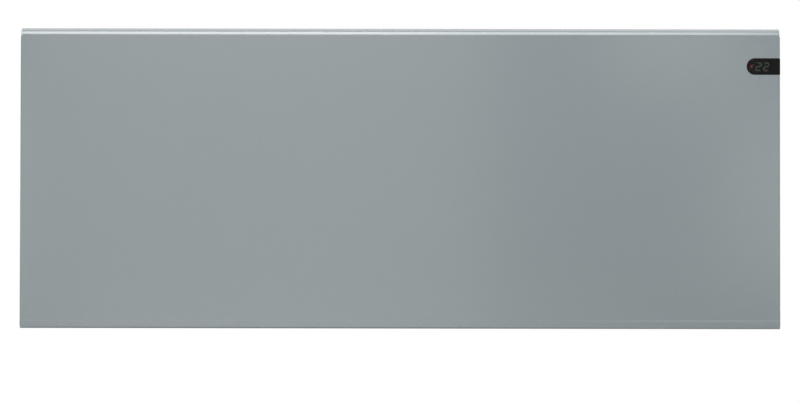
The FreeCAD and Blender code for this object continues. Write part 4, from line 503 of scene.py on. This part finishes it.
lined_metal("spring_steel", (122, 124, 138), (92, 98, 122), 0.30, 0.05, mm(6))
lined_metal("fin_aluminium", (222, 222, 224), (200, 201, 204), 0.36, 0.02, mm(50))
lined_metal("shield_aluminium", (232, 232, 234), (212, 213, 216), 0.24, 0.02, mm(120))
lined_metal("sheath_steel", (176, 160, 140), (120, 112, 124), 0.34, 0.03, mm(30))
lined_metal("terminal_brass", (222, 190, 116), (178, 146, 82), 0.28, 1, mm(6))
print("finishes: metals")

# %% [markdown]
# ## Electrics
# Circuit boards are green solder resist over copper, so tracks show through as paler lines on a
# 2.54 mm grid. The winding is wrapped in tape, whose turns overlap in bands, and the shrunk sleeve
# of the capacitor's can shifts its shade in wider ones. Silicone wire sleeves are soft and dusty.

# %% Electrical finishes
TRACK_PITCH = mm(2.54)
TRACK_WAYS = (("X", "Red", (3, 1, 1)), ("Y", "Green", (1, 3, 1)), ("Z", "Blue", (1, 1, 3)))
SLEEVES = {"wire_brown": (124, 84, 58), "wire_blue": (58, 104, 176),
           "wire_green": (120, 176, 66), "wire_grey": (142, 142, 144)}


def circuit_board():
    board = Finish("board_green")
    tracks = 0
    for axis, channel, stretch in TRACK_WAYS:
        line = board.along(axis) * (1 / TRACK_PITCH)
        near = abs(line.fraction() - 0.5) < 0.13
        drawn = board.flakes(TRACK_PITCH * 3, board.stretched(*stretch), channel) > 0.62
        tracks = tracks + near * drawn
    copper = board.spread(tracks, 0, 1)
    weave = board.noise(mm(0.7), 2)
    green = board.mix(weave, tint(24, 92, 54), tint(30, 104, 62))
    board.set(Base_Color=board.mix(copper * 0.7, green, tint(58, 142, 88)),
              Roughness=board.spread(weave, 0.3, 0.7, 0.26, 0.34))
    board.bump(copper, 0.03)


def banded(name, colour, shade, roughness, pitch):
    """Tape or sleeve whose shade repeats upwards, with a pitch in metres."""
    band = Finish(name)
    wrap = band.along("Z") * (1 / pitch)
    lap = band.spread(wrap.fraction(), 0.0, 0.25)
    fibre = band.noise(mm(0.8), 3)
    cover = band.spread(lap * 0.7 + fibre * 0.5, 0.2, 1.1)
    band.set(Base_Color=band.mix(cover, tint(*shade), tint(*colour)),
             Roughness=band.spread(fibre, 0.3, 0.7, roughness - 0.05, roughness + 0.05))
    band.bump(lap, 0.06)


circuit_board()
banded("coil_yellow", (214, 186, 92), (190, 158, 66), 0.42, mm(4))
banded("can_sleeve", (58, 66, 98), (48, 54, 84), 0.24, mm(20))
for name, colour in SLEEVES.items():
    moulded(name, colour, [channel * 0.86 for channel in colour], 0.62, 0.6, 0.02)
print("finishes: boards, winding, can and", len(SLEEVES), "wires")

# %% [markdown]
# ## The window and its lights
# The window is smoked plastic, printed black behind except over the number and the lamp. It is
# almost as dark where it is clear, and only lit things show through. So the alpha of its shader is
# a mask: one minus what the clear places let through. A low specular level keeps it as dark as in
# the picture. The digits are a milky diffuser lit from behind, a little unevenly, and the lamp is
# tinted resin, bright in the middle and dark red round it.

# %% Window finishes
DIGIT_ROOM, DIGIT_BLUR = mm(1.3), mm(0.4)
LAMP_CLEAR, LAMP_DARK = mm(4.6), mm(5.4)
CLEARNESS = 0.55

digit_low, digit_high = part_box("display_segments")
digit_core = (digit_low + digit_high) / 2
lamp_low, lamp_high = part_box("status_led")
lamp_core = (lamp_low + lamp_high) / 2
lamp_core.y = lamp_low.y


def smoked_window():
    smoked = Finish("smoked_window", Specular_IOR_Level=0.08)
    haze = smoked.noise(mm(4), 3)
    clear = 1
    for axis, core, high in (("X", digit_core.x, digit_high.x), ("Z", digit_core.z, digit_high.z)):
        room = high - core + DIGIT_ROOM
        aside = abs(smoked.along(axis) - core)
        clear = clear * smoked.spread(aside, room, room + DIGIT_BLUR, 1.0, 0.0)
    spot = smoked.spread(smoked.away(lamp_core), LAMP_CLEAR, LAMP_DARK, 1.0, 0.0)
    clear = clear.math("MAXIMUM", clear, spot)
    smoked.set(Base_Color=smoked.mix(haze, tint(13, 13, 13), tint(17, 17, 16)),
               Alpha=1 - clear * CLEARNESS, Roughness=smoked.spread(haze, 0.3, 0.7, 0.08, 0.14))
    smoked.bump(haze, 0.002)


def lit(name, stops, core, reach):
    """A lit diffuser whose glow follows the distance from a point, through stops out to the reach."""
    lamp = Finish(name, Emission_Strength=1.0, Roughness=0.4)
    milk = lamp.noise(mm(1.5), 2)
    uneven = lamp.away(core) * (1 / reach) + (milk - 0.5) * 0.08
    lamp.set(Base_Color=lamp.mix(milk, stops[-1][1], grey(0.02)),
             Emission_Color=lamp.node("ValToRGB", {"stops": stops}, {"Fac": uneven}))


smoked_window()
lit("digit_glow", [(0, tint(122, 130, 112)), (1, tint(100, 107, 92))], digit_core, mm(14))
lit("red_lamp", [(0, tint(240, 182, 186)), (0.12, tint(196, 124, 130)), (0.3, tint(76, 12, 20)),
                 (0.7, tint(62, 8, 14)), (1, tint(8, 2, 2))], lamp_core + mm(0, -0.4, 0), mm(4.6))
print("finishes: window, digits and lamp")

# %% [markdown]
# ## Dressing the solids
# The record says which material slot each CAD node takes, and the finishes are listed under the
# names of the slots, so one loop dresses them all. The solids keep their places and meshes. Only
# their materials change here.

# %% Dress every node
rows = frame["record"]["subparts"]
for row in rows:
    mesh = nodes[row["node"]].data
    mesh.materials.clear()
    mesh.materials.append(FINISHES[row["material_slot"]].material)
print("dressed", len(rows), "nodes in", len({row["material_slot"] for row in rows}), "finishes")

# %% [markdown]
# ## Making pieces
# Every modelled piece goes the same way: a mesh, a body that carries it, the record's material
# slot, and the solid it stands for. Modifiers do the sheet thickness, the cut-outs and the small
# rounded edges, and one helper makes their result the piece's own mesh where a later step needs it.

# %% Helpers for pieces
def add_modifier(item, kind, **settings):
    modifier = item.modifiers.new(kind.lower(), kind)
    for name, setting in settings.items():
        setattr(modifier, name, setting)


def result_of(item):
    """The mesh that an object's curve or modifiers make."""
    return bpy.data.meshes.new_from_object(item.evaluated_get(bpy.context.evaluated_depsgraph_get()))


def settle(item):
    """Makes the modifiers' result the piece's own mesh."""
    result = result_of(item)
    item.modifiers.clear()
    item.data = result


def cut(item, cutter):
    """Takes the cutter's shape out of the piece."""
    add_modifier(item, "BOOLEAN", operation="DIFFERENCE", solver="EXACT", object=cutter)
    settle(item)
    bpy.data.objects.remove(cutter)


def even_shading(item):
    """Lets the flat faces keep their own shading beside small rounds."""
    add_modifier(item, "WEIGHTED_NORMAL", keep_sharp=False)


def soften(item, width, angle=35):
    """Rounds the edges sharper than an angle, by a width in millimetres."""
    add_modifier(item, "BEVEL", width=mm(width), segments=2, limit_method="ANGLE",
                 angle_limit=math.radians(angle), miter_outer="MITER_ARC")
    even_shading(item)


def fit(item, body, slot, *stands_for):
    """Dresses a piece, sets it on its body, and hides the solids it stands for."""
    item.data.materials.clear()
    item.data.materials.append(FINISHES[slot].material)
    item.data.shade_smooth()
    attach(item, body)
    if stands_for:
        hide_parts(*stands_for)
    return item


def grown(name, build):
    """A mesh from a function that adds points and faces to it."""
    shape = bmesh.new()
    build(shape)
    mesh = bpy.data.meshes.new(name)
    shape.to_mesh(mesh)
    shape.free()
    return mesh


print("piece helpers ready")

# %% [markdown]
# ## The front sheet
# The front is one steel sheet, folded on a press: a wide fold along the top, a tight one along the
# foot, and returns at the sides. Near the foot it is stepped out by a fifth of a millimetre, and
# that step catches the light as the thin line in the picture. Only its section has to be drawn,
# from the top flange to the foot flange.

# %% The section of the sheet
SHEET = 0.8
SHEET_FRONT, FLANGE_END, RETURN_END = -84.0, -58.0, -70.0
SHEET_TOP, SHEET_FOOT, SHEET_SIDE = 176.0, -176.0, 445.0
TOP_FOLD, FOOT_FOLD, SIDE_FOLD = 9.5, 1.9, 1.5
STEP_FROM, STEP_TO, STEP_OUT = -165.0, -168.0, 0.2
TOP_ROWS, FACE_ROWS, STEP_ROWS, FOOT_ROWS = 18, 20, 8, 8


def turn(middle, radius, start, end, steps):
    """Points on an arc in millimetres, from one angle to another in degrees."""
    angles = [math.radians(start + (end - start) * step / steps) for step in range(steps + 1)]
    return [(middle[0] + radius * math.cos(angle), middle[1] + radius * math.sin(angle)) for angle in angles]


def sheet_section():
    """The sheet's outer skin, from the top flange to the foot flange, as depth and height."""
    high = SHEET_TOP - TOP_FOLD
    points = [(FLANGE_END, SHEET_TOP)]
    points += turn((SHEET_FRONT + TOP_FOLD, high), TOP_FOLD, 90, 180, TOP_ROWS)
    for row in range(1, FACE_ROWS + 1):
        points.append((SHEET_FRONT, high + (STEP_FROM - high) * row / FACE_ROWS))
    for row in range(1, STEP_ROWS + 1):
        share = row / STEP_ROWS
        ease = share * share * (3 - 2 * share)
        points.append((SHEET_FRONT - STEP_OUT * ease, STEP_FROM + (STEP_TO - STEP_FROM) * share))
    foot = (SHEET_FRONT - STEP_OUT + FOOT_FOLD, SHEET_FOOT + FOOT_FOLD)
    return points + turn(foot, FOOT_FOLD, 180, 270, FOOT_ROWS) + [(FLANGE_END, SHEET_FOOT)]


section = sheet_section()
print("section:", len(section), "points")

# %% [markdown]
# ## From section to sheet
# The section, repeated across the width, gives the skin, and Solidify gives the sheet its
# thickness. A big sheet is never quite flat, so its middle waves by a tenth of a millimetre, which
# loosens its reflections.

# %% The skin of the sheet
COLUMNS, CORNER_COLUMNS = 60, 5
FOLD_INSET, HAIR = 0.7, 0.001
WAVE = 0.12
CALM_SIDE, SIDE_FADE = 40, 120
WAVY_HALF, HALF_FADE = 130, 80


def held(share):
    """A share, held between none and all."""
    return max(0.0, min(1.0, share))


def wave(x, z):
    """How far the sheet stands back at a place, in millimetres. It stays calm along its edges."""
    room = held((SHEET_SIDE - CALM_SIDE - abs(x)) / SIDE_FADE) * held((WAVY_HALF - abs(z)) / HALF_FADE)
    swell = math.sin(x / 61 + 0.8) * math.cos(z / 47 - 0.4) + 0.6 * math.sin(x / 103 - z / 71)
    return WAVE * room * (0.5 + 0.3 * swell)


def sheet_row(depth, height):
    """One row of points across the sheet, with the side returns where it has them."""
    inner = SHEET_SIDE - SIDE_FOLD
    has_returns = SHEET_FOOT + FOOT_FOLD - HAIR < height < SHEET_TOP - TOP_FOLD + HAIR
    half = inner if has_returns else SHEET_SIDE - FOLD_INSET
    row = [(half * (2 * column / COLUMNS - 1), depth) for column in range(COLUMNS + 1)]
    if has_returns:
        row = [(x, y + wave(x, height)) for x, y in row]
        corner = turn((inner, depth + SIDE_FOLD), SIDE_FOLD, -90, 0, CORNER_COLUMNS)[1:]
        corner.append((SHEET_SIDE, RETURN_END))
        row = [(-x, y) for x, y in reversed(corner)] + row + corner
    return [mm(x, y, height) for x, y in row]


def sheet_skin(skin):
    above = None
    for depth, height in section:
        row = [skin.verts.new(point) for point in sheet_row(depth, height)]
        if above:
            shared = min(len(above), len(row))
            upper, lower = [line[(len(line) - shared) // 2:][:shared] for line in (above, row)]
            for left in range(shared - 1):
                skin.faces.new((upper[left], lower[left], lower[left + 1], upper[left + 1]))
        above = row


sheet = loose("front_sheet", grown("front_sheet", sheet_skin))
add_modifier(sheet, "SOLIDIFY", thickness=mm(SHEET), offset=-1, use_even_offset=True)
settle(sheet)
print("front sheet:", len(sheet.data.polygons), "faces")

# %% [markdown]
# ## The window's notch
# The window sits in a notch that is round at its left end and open at the right edge. A press
# punches it in one blow, so a punch with one round end is taken out of the sheet here too, and the
# cut edge gets the small round that paint gives it.

# %% Punch the notch
WINDOW_HEIGHT = 131.5
NOTCH_HALF, NOTCH_START, NOTCH_END = 9.7, 415.5, SHEET_SIDE + 5
PUNCH_FROM, PUNCH_STROKE = -90, 30
PAINT_ROUND, PAINT_ANGLE = 0.22, 50


def punch(shape):
    rim = turn((NOTCH_START, WINDOW_HEIGHT), NOTCH_HALF, 90, 270, 40)
    rim += [(NOTCH_END, WINDOW_HEIGHT - NOTCH_HALF), (NOTCH_END, WINDOW_HEIGHT + NOTCH_HALF)]
    face = shape.faces.new([shape.verts.new(mm(x, PUNCH_FROM, z)) for x, z in rim])
    pushed = bmesh.ops.extrude_face_region(shape, geom=[face])["geom"]
    far_end = [part for part in pushed if isinstance(part, bmesh.types.BMVert)]
    bmesh.ops.translate(shape, vec=mm(0, PUNCH_STROKE, 0), verts=far_end)
    bmesh.ops.recalc_face_normals(shape, faces=shape.faces)


cut(sheet, loose("punch", grown("punch", punch)))
soften(sheet, PAINT_ROUND, PAINT_ANGLE)
fit(sheet, "heater", "casing_paint", "front_panel")
print("notched sheet:", len(sheet.data.polygons), "faces")

# %% [markdown]
# ## The smoked window
# The window is one moulding that starts on the front, turns the corner and runs along the side,
# where the keys come through it. Drawn flat it is a stadium with three holes, so a flat curve with
# a filled face and a rounded rim makes it first. The printed marks below are drawn the same way.

# %% Flat drawings
def circle(radius, middle=(0, 0)):
    """A circle, as a loop."""
    return turn(middle, radius, 0, 350, 35)


def flat_shape(name, loops, thick, rim):
    """A flat mesh with a rounded rim, from closed outlines in millimetres. Inner loops are holes."""
    drawing = bpy.data.curves.new(name, "CURVE")
    drawing.dimensions = "2D"
    drawing.fill_mode = "BOTH"
    drawing.bevel_depth = mm(rim)
    drawing.bevel_resolution = 2
    drawing.offset = -mm(rim)
    drawing.extrude = mm(thick / 2 - rim)
    for loop in loops:
        spline = drawing.splines.new("POLY")
        spline.points.add(len(loop) - 1)
        spline.use_cyclic_u = True
        for point, (along, up) in zip(spline.points, loop):
            point.co = (*mm(along, up, 0), 1)
    item = loose(name, drawing)
    flat = result_of(item)
    bpy.data.objects.remove(item)
    return flat


print("a circle has", len(circle(1)), "points")

# %% [markdown]
# ## Round the corner
# The flat window is cut across at a few stations of the corner and wrapped: each point keeps its
# height, and its way along the strip becomes a place on the path. So the face and the side stay
# flat, and only the corner bends.

# %% The window, wrapped
LENS_LEFT, LENS_FRONT, LENS_SIDE, LENS_END = 406.0, -84.2, 445.2, -34.0
LENS_HALF, LENS_THICK, LENS_RIM, LENS_CORNER = 9.5, 1.4, 0.3, 1.5
KEY_DEPTHS, KEY_HOLE = (-69.0, -57.5, -46.0), 4.3
END_STEPS, CORNER_STEPS = 32, 6

corner_start = LENS_SIDE - LENS_CORNER - LENS_LEFT
corner_end = corner_start + LENS_CORNER * math.pi / 2
side_start = LENS_FRONT + LENS_CORNER
strip = corner_end + LENS_END - side_start


def window_loops():
    rim = turn((LENS_HALF, 0), LENS_HALF, 90, 270, END_STEPS)
    rim += turn((strip - LENS_HALF, 0), LENS_HALF, -90, 90, END_STEPS)
    return [rim] + [circle(KEY_HOLE, (corner_end + depth - side_start, 0)) for depth in KEY_DEPTHS]


def wrapped(place):
    """A point of the flat strip, taken round the corner."""
    along, up, depth = place.x / MM, place.y / MM, LENS_THICK / 2 - place.z / MM
    height = WINDOW_HEIGHT + up
    if along <= corner_start:
        return mm(LENS_LEFT + along, LENS_FRONT + depth, height)
    if along >= corner_end:
        return mm(LENS_SIDE - depth, side_start + along - corner_end, height)
    angle = (along - corner_start) / LENS_CORNER
    reach = LENS_CORNER - depth
    return mm(LENS_SIDE - LENS_CORNER + reach * math.sin(angle),
              side_start - reach * math.cos(angle), height)


def window_shape(shape):
    shape.from_mesh(flat_shape("window_drawing", window_loops(), LENS_THICK, LENS_RIM))
    bmesh.ops.remove_doubles(shape, verts=shape.verts, dist=1e-6)
    for step in range(CORNER_STEPS + 1):
        station = corner_start + (corner_end - corner_start) * step / CORNER_STEPS
        bmesh.ops.bisect_plane(shape, geom=shape.verts[:] + shape.edges[:] + shape.faces[:], dist=1e-7,
                               plane_co=mm(station, 0, 0), plane_no=(1, 0, 0))
    for point in shape.verts:
        point.co = wrapped(point.co)


window = loose("window", grown("window", window_shape))
fit(window, "heater", "smoked_window", "display_lens")
even_shading(window)
print("window:", len(window.data.polygons), "faces, strip", round(strip, 2), "mm long")

# %% [markdown]
# ## The lamp behind the window
# The red lamp is a small resin dome. Its light spreads in a thin film on its front, and in the
# picture that is a dark red spot with a pale centre. The film is a turned disc, and so are the
# screws and rivets below, so the lathe helper comes here: it takes an outline of radius and height
# and spins it about the upright axis.

# %% Lathe, and the lamp's film
def turned(outline, steps=32, shaped=None, closed=False):
    """Spins an outline of radius and height, in millimetres. shaped changes the radius by angle."""
    def build(shape):
        rings = []
        for radius, height in outline:
            angles = [math.tau * step / steps for step in range(steps if radius else 1)]
            reach = [shaped(radius, height, angle) if shaped else radius for angle in angles]
            rings.append([shape.verts.new(mm(far * math.cos(angle), far * math.sin(angle), height))
                          for far, angle in zip(reach, angles)])
        for ring, following in zip(rings, rings[1:] + rings[:1] if closed else rings[1:]):
            for step in range(steps):
                ends = [ring[step % len(ring)], ring[(step + 1) % len(ring)],
                        following[(step + 1) % len(following)], following[step % len(following)]]
                shape.faces.new(list(dict.fromkeys(ends)))
        bmesh.ops.recalc_face_normals(shape, faces=shape.faces)
    return build


def standing(place, way, angle=0.0):
    """The matrix that stands a turned shape on a place, with its top along a way."""
    return (Matrix.Translation(place) @ way.to_track_quat("Z", "Y").to_matrix().to_4x4()
            @ Matrix.Rotation(angle, 4, "Z"))


FRONTWARD, REARWARD = Vector((0, -1, 0)), Vector((0, 1, 0))
FILM_OUTLINE = [(0, 0.4), (3.9, 0.38), (4.35, 0.3), (4.5, 0.2), (4.35, 0.1), (3.9, 0.02), (0, 0)]

film = grown("lamp_film", turned(FILM_OUTLINE))
film.transform(standing(lamp_core, FRONTWARD))
fit(loose("lamp_film", film), "heater", "red_lamp")
print("lamp film at", [round(part / MM, 1) for part in lamp_core])

# %% [markdown]
# ## Marks on the keys and the switch
# The keys carry a minus, a ring and a plus, and the switch the usual bar and ring for on and off.
# They are printed in pale ink. Each is a flat outline with a little thickness, and on the keys it
# lies in the dish.

# %% Marks
MARK_HALF, LINE_HALF = 1.5, 0.32
RING_OUTER, RING_INNER = 1.45, 0.9
KEY_DISH, KEY_INK, KEY_INK_RIM = 445.485, 0.17, 0.04
SIDEWARD = Matrix(((0, 0, 1, 0), (1, 0, 0, 0), (0, 1, 0, 0), (0, 0, 0, 1)))

ink = moulded("mark_ink", (208, 210, 208), (190, 192, 190), 0.5, 0.3, 0.005)


def rounded(half_long, half_wide):
    """A bar with round ends, as a loop."""
    flat = half_long - half_wide
    return turn((flat, 0), half_wide, -90, 90, 8) + turn((-flat, 0), half_wide, 90, 270, 8)


def crossed(long, wide):
    """Two crossed bars, as a loop."""
    return [(long, -wide), (long, wide), (wide, wide), (wide, long), (-wide, long), (-wide, wide),
            (-long, wide), (-long, -wide), (-wide, -wide), (-wide, -long), (wide, -long), (wide, -wide)]


def printed(name, mark, body, slot):
    """Fits a mark on its body, in pale ink."""
    fit(loose(name, mark), body, slot).data.materials[0] = ink.material


marks = {"minus_key": [rounded(MARK_HALF, LINE_HALF)],
         "menu_key": [circle(RING_OUTER), circle(RING_INNER)],
         "plus_key": [crossed(MARK_HALF, LINE_HALF)]}
for (key, loops), depth in zip(marks.items(), KEY_DEPTHS):
    mark = flat_shape(key + "_mark", loops, KEY_INK, KEY_INK_RIM)
    mark.transform(Matrix.Translation(mm(KEY_DISH, depth, WINDOW_HEIGHT)) @ SIDEWARD)
    printed(key + "_mark", mark, key, "key_plastic")
print("marks on", ", ".join(marks))

# %% [markdown]
# ## On a curved face
# The switch is curved, so a flat mark would stand off it at its ends. Each point of the mark drops
# on to the switch instead, along the line of sight, which a ray finds.

# %% Marks on the switch
ON_HEIGHT, OFF_HEIGHT, SWITCH_DEPTH = -114.9, -105.3, -50
SWITCH_INK, SWITCH_INK_RIM = 0.16, 0.03
EYE_SIDE = 0.5

rocker_face = BVHTree.FromObject(nodes["mains_rocker"], bpy.context.evaluated_depsgraph_get())
upright_bar = [(up, -along) for along, up in rounded(1.7, 0.28)]
for name, loops, height in (("switch_on_mark", [upright_bar], ON_HEIGHT),
                            ("switch_off_mark", [circle(1.7), circle(1.2)], OFF_HEIGHT)):
    mark = flat_shape(name, loops, SWITCH_INK, SWITCH_INK_RIM)
    mark.transform(Matrix.Translation(mm(0, SWITCH_DEPTH, height)) @ SIDEWARD)
    for point in mark.vertices:
        found = rocker_face.ray_cast(Vector((EYE_SIDE, point.co.y, point.co.z)), Vector((-1, 0, 0)))[0]
        point.co.x += found.x
    printed(name, mark, "mains_rocker", "rocker_plastic")
print("switch marked at", ON_HEIGHT, "and", OFF_HEIGHT, "mm")

# %% [markdown]
# ## Screws
# The casing is held by pan-head sheet-metal screws with a cross recess. One screw is turned with
# its thread, and two tapered blades are taken out of its head.

# %% One screw
SCREW_HEAD, SCREW_LENGTH = 1.1, 8
SCREW_CORE, SCREW_CREST, SCREW_PITCH, SCREW_TIP = 1.2, 1.5, 0.5, 1.4
HEAD_OUTLINE = [(0, SCREW_HEAD), (1.7, SCREW_HEAD), (2.5, 1.02), (2.95, 0.78), (3.15, 0.4),
                (3.2, 0.1), (3.2, 0), (SCREW_CREST, 0)]
BLADE_ENDS = ((1.0, 0.28, 0.4), (1.95, 0.46, 1.4))
BLADE_CORNERS = ((-1, -1), (1, -1), (1, 1), (-1, 1))
BLADE_SIDES = ((3, 2, 1, 0), (4, 5, 6, 7), (0, 1, 5, 4), (1, 2, 6, 5), (2, 3, 7, 6), (3, 0, 4, 7))


def screw_outline(length):
    """A screw with its head at the top and a ridged thread below it."""
    points = list(HEAD_OUTLINE)
    ridge = SCREW_PITCH
    while ridge < length - SCREW_TIP:
        points += [(SCREW_CORE, -ridge), (SCREW_CREST, -ridge - SCREW_PITCH / 2)]
        ridge += SCREW_PITCH
    return points + [(1.1, 1 - length), (0, -length)]


def blade(shape):
    """A tapered blade that cuts one arm of the cross."""
    points = [shape.verts.new(mm(long_way * half, wide_way * width, height))
              for half, width, height in BLADE_ENDS for long_way, wide_way in BLADE_CORNERS]
    for side in BLADE_SIDES:
        shape.faces.new([points[corner] for corner in side])


screw = loose("screw", grown("screw", turned(screw_outline(SCREW_LENGTH))))
for angle in (0, math.pi / 2):
    cutter = loose("blade", grown("blade", blade))
    cutter.data.transform(Matrix.Rotation(angle, 4, "Z"))
    cut(screw, cutter)
print("screw:", len(screw.data.polygons), "faces")

# %% [markdown]
# ## Where the fasteners sit
# A copy of the screw goes wherever the CAD has one. All screws of a kind are one node there, so the
# node is parted into its separate solids, and the box of each tells where its head sits. Each copy
# is turned to another angle, as a hand leaves them.

# %% Where the fasteners sit
GOLDEN = math.radians(137.5)


def solids(name):
    """The boxes of a node's separate solids, as their middles and half sizes."""
    whole = bmesh.new()
    whole.from_mesh(nodes[name].data)
    bmesh.ops.remove_doubles(whole, verts=whole.verts, dist=1e-6)
    boxes, done = [], set()
    for start in whole.verts:
        island, edge = [], [start]
        while edge:
            point = edge.pop()
            if point.index not in done:
                done.add(point.index)
                island.append(point.co.copy())
                edge += [line.other_vert(point) for line in point.link_edges]
        if island:
            low, high = [Vector([pick(axis) for axis in zip(*island)]) for pick in (min, max)]
            boxes.append(((low + high) / 2, (high - low) / 2))
    whole.free()
    return boxes


def seats(name, facing, head):
    """The matrix of the seat under each head of a node's fasteners."""
    found = []
    for number, (middle, half) in enumerate(solids(name)):
        way = facing(middle)
        reach = half.dot(Vector([abs(part) for part in way])) - mm(head)
        found.append(standing(middle + way * reach, way, number * GOLDEN))
    return found


print("casing screws at", len(solids("casing_screws")), "places")

# %% Screws in their places
def gathered(name, shapes):
    """One piece from many meshes, each with the matrix that places it."""
    def build(shape):
        for mesh, place in shapes:
            copy = mesh.copy()
            copy.transform(place)
            shape.from_mesh(copy)
    return loose(name, grown(name, build))


def outward(middle):
    return Vector((0, 0, math.copysign(1, middle.z)))


def rearward(middle):
    return REARWARD


for name, facing in (("casing_screws", outward), ("end_cap_screws", rearward), ("earth_screw", rearward)):
    placed = [(screw.data, seat) for seat in seats(name, facing, SCREW_HEAD)]
    even_shading(fit(gathered(name + "_turned", placed), "heater", "bright_steel", name))
    print(name, "-", len(placed), "screws")
bpy.data.objects.remove(screw)

# %% [markdown]
# ## Blind rivets
# The pieces behind are held by blind rivets: a domed head with a dimple where the pulled pin broke
# off, and a bulged tail inside. Their lengths follow the stack of sheets, so each is turned anew.

# %% Rivets
RIVET_HEAD, RIVET_SHANK = 1.2, 1.6
RIVET_DOME = [(0, 0.45), (0.7, 0.42), (0.85, 0.6), (0.95, 1.1), (1.15, RIVET_HEAD), (1.9, 1.08),
              (2.6, 0.75), (3.05, 0.35), (3.2, 0.08), (3.18, 0), (RIVET_SHANK, 0)]


def rivet_outline(length):
    """A rivet of a length below its head."""
    tail = length - RIVET_HEAD
    return RIVET_DOME + [(RIVET_SHANK, -tail), (2.45, -tail), (2.56, -tail - 0.3), (2.3, -tail - 0.8),
                         (RIVET_SHANK, -length), (0, -length)]


placed = []
for (middle, half), seat in zip(solids("chassis_rivets"), seats("chassis_rivets", rearward, RIVET_HEAD)):
    rivet = grown("rivet", turned(rivet_outline(2 * half.y / MM - RIVET_HEAD), 24))
    placed.append((rivet, seat))
fit(gathered("chassis_rivets_turned", placed), "heater", "bright_steel", "chassis_rivets")
print("rivets:", len(placed))

# %% [markdown]
# ## The cord gland
# The gland that grips the mains cord is a nylon nut with grip ribs and a threaded neck. It is
# turned like the rest, and its radius goes in and out with the angle where the ribs are.

# %% Gland
RIBS, RIB_DEPTH, RIB_STEPS = 18, 0.45, 6
GLAND_BORE, NUT_HEIGHT = 3.6, 12
NECK_CORE, NECK_CREST, NECK_PITCH = 5.6, 6, 0.8

gland_middle, gland_half = solids("cable_gland")[0]
gland_low = (gland_middle.z - gland_half.z) / MM
gland_high = (gland_middle.z + gland_half.z) / MM
neck = gland_low + NUT_HEIGHT


def ribbed(radius, height, angle):
    """The radius of the nut with its grip ribs."""
    if gland_low + 0.5 < height < neck - 0.5 and radius > 7:
        return radius - RIB_DEPTH * (0.5 - 0.5 * math.cos(RIBS * angle)) ** 2
    return radius


outline = [(GLAND_BORE, gland_low), (5.9, gland_low), (6.75, gland_low + 0.4), (8.6, gland_low + 3.6),
           (9, gland_low + 4.4), (9, neck - 1.2), (8.6, neck - 0.4), (8.2, neck), (NECK_CREST, neck)]
ridge = neck + 1.0
while ridge < gland_high - 1:
    outline += [(NECK_CORE, ridge), (NECK_CREST, ridge + NECK_PITCH / 2)]
    ridge += NECK_PITCH
outline += [(NECK_CORE, gland_high), (GLAND_BORE, gland_high)]
gland_mesh = grown("gland", turned(outline, RIBS * RIB_STEPS, ribbed, True))
gland_mesh.transform(Matrix.Translation((gland_middle.x, gland_middle.y, 0)))
gland = fit(loose("gland", gland_mesh), "heater", "black_plastic", "cable_gland")
print("gland:", len(gland.data.polygons), "faces")

# %% [markdown]
# ## Softer edges
# No pressed, sawn or moulded edge is razor sharp. The remaining solids keep their CAD meshes, and
# modifiers that run on top weld the split corners, merge the triangles of flat faces, and round
# the edges by a fraction of a millimetre, so that each edge catches a thin line of light.

# %% Soften the solids
SOFT = {
    "rear_panel": 0.25, "outlet_grille": 0.2, "inlet_grille": 0.2, "left_end_cap": 0.4,
    "right_end_cap": 0.4, "minus_key": 0.2, "menu_key": 0.2, "plus_key": 0.2,
    "mains_switch_body": 0.35, "mains_rocker": 0.35, "cord_inlet_box": 0.3, "gland_nut": 0.3,
    "bumper_pads": 0.6, "catch_keeper_left": 0.2, "catch_keeper_right": 0.2,
    "hanger_saddle_left": 0.2, "hanger_saddle_right": 0.2, "bracket_arm_left": 0.25,
    "bracket_arm_right": 0.25, "bracket_crossbars": 0.25, "catch_springs": 0.12,
    "terminal_block": 0.3, "display_module": 0.2, "power_relay": 0.4, "board_transformer": 0.4,
    "display_carrier": 0.2,
}
for name, width in SOFT.items():
    add_modifier(nodes[name], "WELD", merge_threshold=1e-6)
    add_modifier(nodes[name], "DECIMATE", decimate_type="DISSOLVE", angle_limit=math.radians(1))
    soften(nodes[name], width)
print("softened", len(SOFT), "solids")
